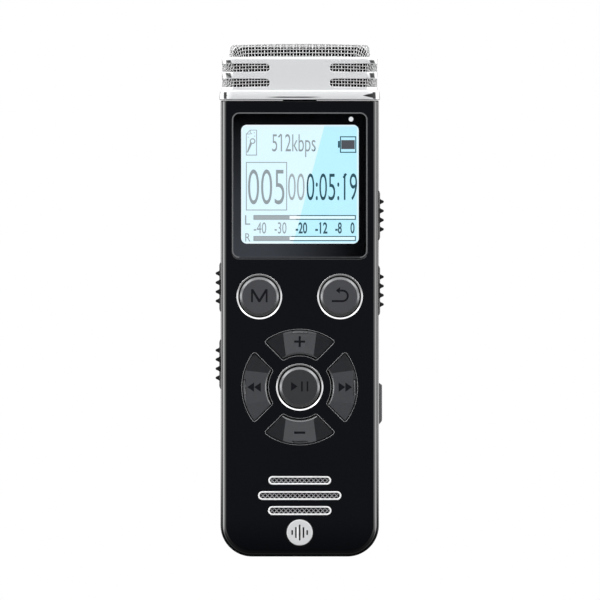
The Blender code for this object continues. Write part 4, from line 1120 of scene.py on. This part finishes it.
def make_memo_symbol(y_span):
    """Page with a folded corner and a microphone on it."""
    left, right, low, high, fold = -10.75, -8.55, 80.22, 85.36, 0.85
    page = [(left, low), (right, low), (right, high), (left + fold, high), (left, high - fold)]
    middle = np.mean(page, axis=0)
    inner = [tuple(middle + (np.array(p) - middle) * (0.87, 0.945)) for p in page]
    sheet = carved(prism("lcd_memo_page", page, y_span), prism("page_inside", inner, THROUGH))
    piece(sheet, "ink", "display")
    crease = [(left + fold, high), (left + fold + 0.02, high - fold), (left + 0.03, high - fold)]
    x, z = -9.42, 83.1
    handle = [(x - 0.5, z - 0.25), (x - 0.14, z - 0.62), (-10.32, 80.86), (-10.6, 80.8)]
    near, far = -y_span[0], -y_span[1]
    profile = [(0.36, near), (0.56, near), (0.56, far), (0.36, far)]
    marks = [
        prism("fold", stroked(crease, 0.14), y_span),
        turned("mic_ring", profile, (x, 0, z), steps=32, closed=True),
        prism("handle", handle, y_span),
    ]
    for u, v in ((-9.62, 84.6), (-9.1, 84.75), (-9.02, 84.1), (-10.3, 83.9)):
        marks.append(prism("dot", circle(u, v, 0.1, 12), y_span))
    piece(merged("lcd_memo_mark", marks), "ink", "display")


make_display()

# ---------------------------------------------------------------- front controls


def engrave(obj, name, outlines, face, body):
    """Sink symbols into a face at y = face and lay a dark inlay at the bottom of each."""
    depth = 0.12
    marks = {f"{name}_{number}": outline for number, outline in enumerate(outlines)}
    cut = (face - 1, face + depth)
    carved(obj, *[prism(mark + "_cut", outline, cut) for mark, outline in marks.items()])
    for mark, outline in marks.items():
        inlay = prism(mark, outline, (face + depth * 0.5, face + depth + 0.05))
        piece(inlay, "glyph", "key_grey", body=body)


def make_trim_ring(label):
    """Bright ring that slopes down towards its button."""
    x, _, z = centre_of(f"{label}_ring")
    crest = -extent(f"{label}_ring")[1][0]
    outer = ring_radius(label)
    inner, foot = outer - 0.35, outer + RING_FOOT
    section = [
        (inner, 0.2), (inner + 0.03, 0.13), (outer - 0.06, 0.01), (outer - 0.04, 0),
        (outer - 0.02, 0.01), (outer, 0.05), (outer, 1.25), (foot, 1.25), (foot, 1.6), (inner, 1.6),
    ]
    profile = [(radius, crest - drop) for radius, drop in section]
    ring = turned(f"{label}_trim", profile, (x, 0, z), steps=128, closed=True)
    piece(shaded(ring, 40), "chrome", "chrome", f"{label}_ring")


def make_round_button(label, outlines):
    """Push button with a chamfered face and an engraved symbol."""
    node = f"{label}_button"
    x, _, z = centre_of(node)
    (left, right), (front, back), _ = extent(node)
    face = -front
    flange = (right - left) / 2
    cap, width, drop = flange - 0.78, 0.53, 0.42
    level = cap - width
    profile = [
        (level - 0.04, face), (level + 0.02, face - 0.015), (cap - 0.05, face - drop + 0.02),
        (cap, face - drop - 0.04), (cap, 3.55), (flange, 3.55), (flange, 3.1), (1.0, 3.1), (1.0, -back),
    ]
    button = turned(f"{label}_cap", profile, (x, 0, z), steps=128)
    placed = [[(x + u, z + v) for u, v in outline] for outline in outlines]
    engrave(button, f"{label}_mark", placed, front, node)
    look = "play_face" if label == "play" else "button_face"
    piece(shaded(button, 28), look, "key_grey", node, body=node)

    def chamfered(spot, _):
        far = math.hypot(spot.x - x, spot.z - z)
        return far > level - 0.03 and spot.y < front + drop + 0.2

    retouched(button, "key_edge", chamfered)


def letter_m():
    """Outline of the menu symbol: its right half, then the left half mirrored."""
    w, h, s = 1.64, 1.3, 0.36
    half = [(0.16, -h), (w - s, h - 0.75), (w - s, -h), (w, -h), (w, h), (w - s - 0.06, h)]
    corners = half + [(0, -h + 0.62)] + [(-u, v) for u, v in half[::-1]]
    return [(u, v + 0.18) for u, v in corners]


def turn_back_arrow():
    """Stroke and head of the return symbol."""
    path = [(-1.65, -1.0), (-0.9, -1.0), (-0.1, -1.0)]
    path += arc(0.5, 0.05, 1.05, -90, 90, 28) + [(0.0, 1.1)]
    head = [(-0.85, 1.12), (0.02, 1.82), (-0.08, 0.5)]
    return [[(u, v + 0.1) for u, v in outline] for outline in (stroked(path, 0.38), head)]


def play_and_pause():
    bars = [rectangle(u_span, (-0.85, 1.15)) for u_span in ((0.29, 0.6), (1.39, 1.7))]
    return [[(-1.73, -0.75), (-0.42, 0.15), (-1.73, 1.05)], *bars]


def key_marks(label):
    """Symbols of a sector key, as outlines in panel coordinates."""
    x, z = PLAY_X, PLAY_Z
    if label == "plus":
        w, s, cz = 1.08, 0.21, z + 9.1
        arm, made = [(-s, -s), (-s, -w), (s, -w)], []
        for _ in range(4):
            made += [(x + u, cz + v) for u, v in arm]
            arm = [(-v, u) for u, v in arm]
        return [made]
    if label == "minus":
        w, s, cz = 1.1, 0.23, z - 9.1
        return [rectangle(around(x, w), around(cz, s))]
    sign = 1 if label == "forward" else -1
    return [
        [(x + sign * base, z - 0.92), (x + sign * (base + 1.33), z), (x + sign * base, z + 0.92)]
        for base in (7.78, 9.14)
    ]


def turning(direction):
    """Unit vector outwards from the play button and the one across it."""
    turn = math.radians(direction)
    return (math.cos(turn), math.sin(turn)), (-math.sin(turn), math.cos(turn))


def make_sector_key(label):
    """Sector key: a level middle facet, falling wings, a chamfer inside and a notch outside."""
    node = f"{label}_key"
    front, back = extent(node)[1]
    out, along = turning(KEYS[label])

    def spot(r, t, y):
        return (PLAY_X + r * out[0] + t * along[0], y, PLAY_Z + r * out[1] + t * along[1])

    def facet(r):
        """Half width of the level facet, r from the play button's middle."""
        return 2.8 + (r - KEY_INNER) / (KEY_OUTER - KEY_INNER) * 0.6

    key = prism(f"{label}_sector", key_outline(label, 0, 0.25), (front, -4.0))
    cutters = []
    reach = 9.0
    fall = math.tan(math.radians(7)) * reach
    for sign in (-1, 1):
        corners = [(r, facet(r)) for r in (4.0, 14.0)]
        base = [(r, sign * t, front) for r, t in corners]
        base += [(r, sign * (t + reach), front + fall) for r, t in corners[::-1]]
        high = [spot(r, t, front - 3) for r, t, _ in base]
        cutters.append(loft(f"{label}_wing_{sign}", [[spot(*p) for p in base], high]))
    slope = [(KEY_INNER + 1.38, -front + 1), (KEY_INNER - 0.62, -front - 1)]
    cutters.append(turned(f"{label}_chamfer", slope, (PLAY_X, 0, PLAY_Z), steps=144))
    levels = []
    for spread, y in ((0, front + 0.3), (0.16, front + 0.02), (0.16, front - 2)):
        near, half = 10.95 - spread, 1.4 + spread
        outline = ((near, -half), (near, half), (12.5, half), (12.5, -half))
        levels.append([spot(r, t, y) for r, t in outline])
    cutters.append(loft(f"{label}_notch", levels))
    carved(key, *cutters)
    foot = sector(KEY_INNER, KEY_OUTER + 0.7, KEY_SIDE - 0.7, KEYS[label], 0.4)
    flange = prism(f"{label}_flange", foot, (-4.15, -3.7))
    stem_x, _, stem_z = spot(8.9, 0, 0)
    stem = prism(f"{label}_stem", circle(stem_x, stem_z, 0.9, 32), (-3.8, back))
    joined(key, flange, stem)
    bevelled(key, 0.06, 2, 5)
    engrave(key, f"{label}_symbol", key_marks(label), front, node)
    look = "key_face" if label in ("plus", "minus") else "side_face"
    piece(shaded(key, 40), look, "key_grey", node, body=node)

    def polar(centre):
        u, v = centre.x - PLAY_X, centre.z - PLAY_Z
        return u * out[0] + v * out[1], u * along[0] + v * along[1]

    # Painted shade: the wings take the darker copy of the key finish, except the lower wings of the
    # rewind and forward keys, which keep the lit face colour
    def on_wing(centre, _):
        r, t = polar(centre)
        lit = label in ("rewind", "forward") and centre.z < PLAY_Z
        return abs(t) > facet(r) + 0.02 and not lit

    def on_edge(centre, normal):
        r, t = polar(centre)
        inside, notched = math.hypot(r, t) < KEY_INNER + 0.42, r > 10.7 and abs(t) < 1.65
        return (inside or notched) and 0.3 < -normal.y < 0.9

    retouched(key, "key_wing_painted_shade", on_wing)
    retouched(key, "key_edge", on_edge)


for label in ROUND_BUTTONS:
    make_trim_ring(label)
make_round_button("menu", [letter_m()])
make_round_button("return", turn_back_arrow())
make_round_button("play", play_and_pause())
for label in KEYS:
    make_sector_key(label)

# ---------------------------------------------------------------- side controls


def make_slider(label):
    """Ridged thumb slider with sloping ends."""
    node = f"{label}_slider"
    side, middle, _ = slider_place(label)
    xs, ys, (low, high) = extent(node)
    tip = max(abs(x) for x in xs)
    foot, base, nose = tip - 0.9, tip - 0.75, 0.27
    outline = [(foot, low), (base, low + 0.5)]
    for number in range(4):
        z = middle + (number - 1.5) * 1.84
        ridge = arc(tip - nose, z, nose, -65, 65, 8)
        outline += [(base, z - 0.56), (base + 0.2, z - 0.42), *ridge]
        outline += [(base + 0.2, z + 0.42), (base, z + 0.56)]
    outline += [(base, high - 0.5), (foot, high)]
    slider = prism(f"{label}_thumb", [(side * x, z) for x, z in outline], ys)
    neck, back, finger = (
        block("slider_part", mirrored(side, near, far), y_span, around(middle, half))
        for near, far, y_span, half in (
            (14.2, 16.05, around(0, 0.9), 1.5),
            (13.8, 14.4, around(0, 1.6), 2.6),
            (12.2, 14.0, (0.25, 0.75), 0.5),
        )
    )
    joined(slider, neck, back, finger)
    bevelled(slider, 0.08, 3, 40)
    piece(shaded(slider, 40), "slider_black", "matte_black", node, body=node)


def make_slider_bed(label):
    """Black strip on the floor of a slider's recess, with a slot for its neck."""
    side, middle, (low, high) = slider_place(label)
    span = mirrored(side, BED_FLOOR - 0.4, BED_TOP)
    bed = block(f"{label}_bed", span, around(0, 3.4), (low + 0.03, high - 0.03))
    slot_z = middle + SLOT_REACH[0], middle + SLOT_REACH[1]
    carved(bed, block("neck_slot", (span[0] - 1, span[1] + 1), around(0, 1.05), slot_z))
    bevelled(bed, 0.05, 2)
    piece(shaded(bed), "slider_black", "matte_black")


def make_side_key():
    """Smooth side key with sloping ends."""
    (inner, face), ys, (low, high) = extent("side_key")
    root, shoulder = 14.4, face - 0.5
    outline = [(root, low), (shoulder, low), (face, low + 0.7), (face, high - 0.4)]
    key = prism("side_button", outline + [(shoulder, high), (root, high)], around(0, 1.4))
    flange = block("side_flange", (14.05, 14.5), ys, (low, high))
    stem = block("side_stem", (inner, 14.2), (0.1, 0.9), around((low + high) / 2, 0.6))
    joined(key, flange, stem)
    bevelled(key, 0.12, 3, 25)
    piece(shaded(key, 40), "side_key_grey", "matte_black", "side_key", body="side_key")


for label in SLIDERS:
    make_slider(label)
    make_slider_bed(label)
make_side_key()

# ---------------------------------------------------------------- loudspeaker and badge


def make_grille():
    """Bright stadium rims, each with a diagonal weave inside."""
    mesh_y, slant = -4.85, math.sqrt(0.5)
    for name in RIMS:
        (left, right), (front, back), (low, high) = extent(name)
        z, length, height = (low + high) / 2, right - left, high - low
        section = [
            (RIM_INSET, back), (RIM_INSET, front + 0.12), (0.11, front + 0.03), (0.17, front),
            (0.27, front), (0.35, front + 0.03), (RIM_WIDTH, front + 0.12), (RIM_WIDTH, back),
        ]

        def rim_outline(inset):
            return stadium(0, z, length - 2 * inset, height - 2 * inset)

        rim = band(name.replace("grille_rim", "speaker_rim"), rim_outline, section)
        piece(shaded(rim, 50), "bright_rim", "chrome", name)
        reach, radius = length / 2 - height / 2, height / 2 - RIM_WIDTH

        def place(s, t):
            points = np.stack([(s - t) * slant, np.full_like(s, mesh_y), z + (s + t) * slant], axis=1)
            return points, np.tile([0.0, -1.0, 0.0], (len(s), 1))

        def keep(points):
            x = np.maximum(np.abs(points[:, 0]) - reach, 0)
            return np.hypot(x, points[:, 2] - z) < radius + 0.05

        half, pitches = length / 2, (0.65, 0.65)
        weave_name = name.replace("grille_rim", "speaker_weave")
        weave = woven(weave_name, place, half, half, keep, pitches, 0.085, 0.07)
        stands_for = ["grille_mesh"] if name == RIMS[0] else []
        piece(shaded(weave, 60), "weave", "wire", *stands_for)


def make_badge():
    """Plain silver disc with five engraved sound bars."""
    (left, right), (front, back), (low, high) = extent("badge")
    z, radius = (low + high) / 2, (right - left) / 2

    def bars(name, width, span):
        made = []
        for number, tall in enumerate((0.5, 1.1, 1.6, 1.1, 0.5)):
            outline = stadium(z, (number - 2) * 0.75, 2 * tall, width, steps=10)
            made.append(prism("bar", [(v, u) for u, v in outline], span))
        return merged(name, made)

    profile = [(radius, -back), (radius, -front - 0.1), (radius - 0.1, -front)]
    badge = turned("round_badge", profile, (0, 0, z), steps=96)
    carved(badge, bars("badge_bars", 0.32, (-9, front + 0.14)))
    bevelled(badge, 0.03, 2)
    piece(shaded(badge), "silver", "satin_silver", "badge")
    inlays = bars("badge_inlays", 0.3, (front + 0.08, front + 0.16))
    piece(inlays, "glyph", "gloss_black")


make_grille()
make_badge()

# ---------------------------------------------------------------- sockets


def make_jack(name):
    """Round socket: black body with a bright collar round its bore."""
    x, y, _ = centre_of(name)
    xs, ys, (low, high) = extent(name)
    body = block(f"{name}_body", xs, ys, (low + 1.2, high))
    joined(body, prism(f"{name}_nose", circle(x, y, 2.1, 64), (low + 0.25, low + 1.4), upright=True))
    carved(body, prism(f"{name}_bore", circle(x, y, 1.8, 64), (-1, 11.5), upright=True))
    bevelled(body, 0.05, 2)
    piece(shaded(body), "socket_black", "switch", name)
    section = (1.78, 1.6), (1.78, 0.1), (1.85, 0), (2.02, 0), (2.1, 0.1), (2.1, 0.24), (1.82, 0.24)
    profile = [(radius, low + rise) for radius, rise in (*section, (1.82, 1.6))]
    collar = turned(f"{name}_collar", profile, (x, y, 0), "up", 96, closed=True)
    piece(shaded(collar, 40), "steel", "steel")


def make_usb():
    """Socket shell with rounded corners, its tongue and its contacts."""
    x, y, _ = centre_of("usb_socket")
    xs, ys, (low, high) = extent("usb_socket")
    shell = prism("usb_shell", rounded_rectangle(xs, ys, 0.5), (low, high), upright=True)
    inside = rounded_rectangle((xs[0] + 0.3, xs[1] - 0.3), (ys[0] + 0.3, ys[1] - 0.3), 0.3)
    carved(shell, prism("usb_inside", inside, (low - 1, high - 0.6), upright=True))
    bevelled(shell, 0.05, 2)
    piece(shaded(shell), "steel", "steel", "usb_socket")
    tongue = block("usb_tongue", around(x, 2.5), around(y, 0.3), (low + 0.9, high - 0.62))
    bevelled(tongue, 0.06, 2)
    piece(shaded(tongue), "socket_black", "switch")
    pad_y, pad_z = (y - 0.34, y - 0.29), (low + 1.3, high - 1.2)
    pads = [block("pad", around(x + k * 0.9, 0.18), pad_y, pad_z) for k in range(-2, 3)]
    piece(merged("usb_contacts", pads), "gold", "steel")


make_jack("headphone_jack")
make_jack("microphone_jack")
make_usb()

# ---------------------------------------------------------------- pieces kept from the frame

KEPT = {
    "foam_windscreen": "foam",
    "speaker_gasket": "foam",
    "mic_carrier": "soft_black",
    "mic_left": "capsule",
    "mic_right": "capsule",
    "mic_boot_left": "rubber",
    "mic_boot_right": "rubber",
    "lcd_backlight": "diffuser",
    "lcd_ribbon": "ribbon",
    "main_board": "board",
    "battery": "battery",
    "speaker": "speaker",
}
KEPT.update({f"{label}_switch": "tact" for label in (*ROUND_BUTTONS, *KEYS)})
KEPT.update({f"{label}_switch": "switch" for label in (*SLIDERS, "side")})
for node, look in KEPT.items():
    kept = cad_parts[node]
    kept.data.materials.clear()
    kept.data.materials.append(LOOKS[look])

# ---------------------------------------------------------------- studio


def make_world():
    """Studio: bright horizon strips and overhead lights, dark towards the camera."""
    world = bpy.data.worlds.new("studio")
    bpy.context.scene.world = world
    tree = Tree(world)
    x, y, z = tree.axes(tree.node("TexCoord").outputs["Generated"])
    wide, level_off = tree.away(x), tree.away(z)
    ceiling = tree.ramp(z, 0.05, 0.9, 0.92, 1.75)
    strip = tree.times(
        tree.ramp(level_off, 0.3, 0.1), tree.ramp(wide, 0.3, 0.5),
        tree.ramp(x, -0.3, 0.3, 1.15, 0.95), tree.ramp(y, -0.7, -0.25), 2.3,
    )
    lamps = tree.times(tree.ramp(wide, 0.3, 0.6), tree.ramp(z, 0.3, 0.6, 0.0, 2.0))
    behind, below = tree.ramp(y, 0.97, 0.75, 0.15, 1.0), tree.ramp(z, -0.5, -0.02)
    level = tree.times(tree.math("ADD", ceiling, strip, lamps), behind, below)
    level = tree.math("ADD", level, tree.ramp(z, -0.02, -0.5, 0.0, 0.25))
    cone = tree.ramp(tree.times(y, -1.0), 0.9, 0.965)
    glow = tree.ramp(level_off, 0.045, 0.0, 0.02, 0.07)
    level = tree.times(level, tree.math("SUBTRACT", 1.0, cone))
    level = tree.math("ADD", level, tree.times(cone, glow))
    tint = tree.blend(cone, WHITE, (0.82, 0.93, 1.12, 1))
    seen = tree.node("LightPath").outputs["Is Camera Ray"]
    lit = tree.node("Background", {"Color": tint, "Strength": level}).outputs[0]
    plain = tree.node("Background", {"Color": WHITE, "Strength": 1.0}).outputs[0]
    mix = tree.node("MixShader", {0: seen, 1: lit, 2: plain}).outputs[0]
    tree.node("OutputWorld", {"Surface": mix})


def make_floor():
    """Plain pale floor with a soft contact shade, seen only from above."""
    floor = block("floor", around(0, 4000), around(0, 4000), (-4, -0.02))
    made, tree = new_look("floor")
    shade = tree.node("AmbientOcclusion", {"Distance": 30 * MM}, samples=8).outputs["AO"]
    dimmed = tree.ramp(shade, 0.0, 1.0, 0.45, 1.0, smooth=False)
    sight = tree.node("NewGeometry").outputs["Incoming"]
    share = tree.ramp(tree.axes(sight)[2], 0.16, 0.26)
    strength = tree.math("ADD", tree.times(share, dimmed), tree.math("SUBTRACT", 1.0, share))
    tree.surface("Emission", {"Color": WHITE, "Strength": strength})
    floor.data.materials.append(made)
    floor.visible_diffuse = floor.visible_glossy = False
    floor.visible_shadow = floor.visible_transmission = False


def make_camera():
    """Long lens straight at the front, with the object's middle a little above centre."""
    lens, view_width, aim_y = 800.0, 120.0, -4.0
    camera = bpy.data.objects.new("camera", bpy.data.cameras.new("camera"))
    bpy.context.scene.collection.objects.link(camera)
    camera.data.lens = lens
    distance = view_width * lens / camera.data.sensor_width
    camera.location = (0.06 * MM, (aim_y - distance) * MM, 51.32 * MM)
    camera.rotation_euler = (math.pi / 2, 0, 0)
    bpy.context.scene.camera = camera


make_world()
make_floor()
make_camera()
bpy.context.scene.view_settings.view_transform = "Standard"
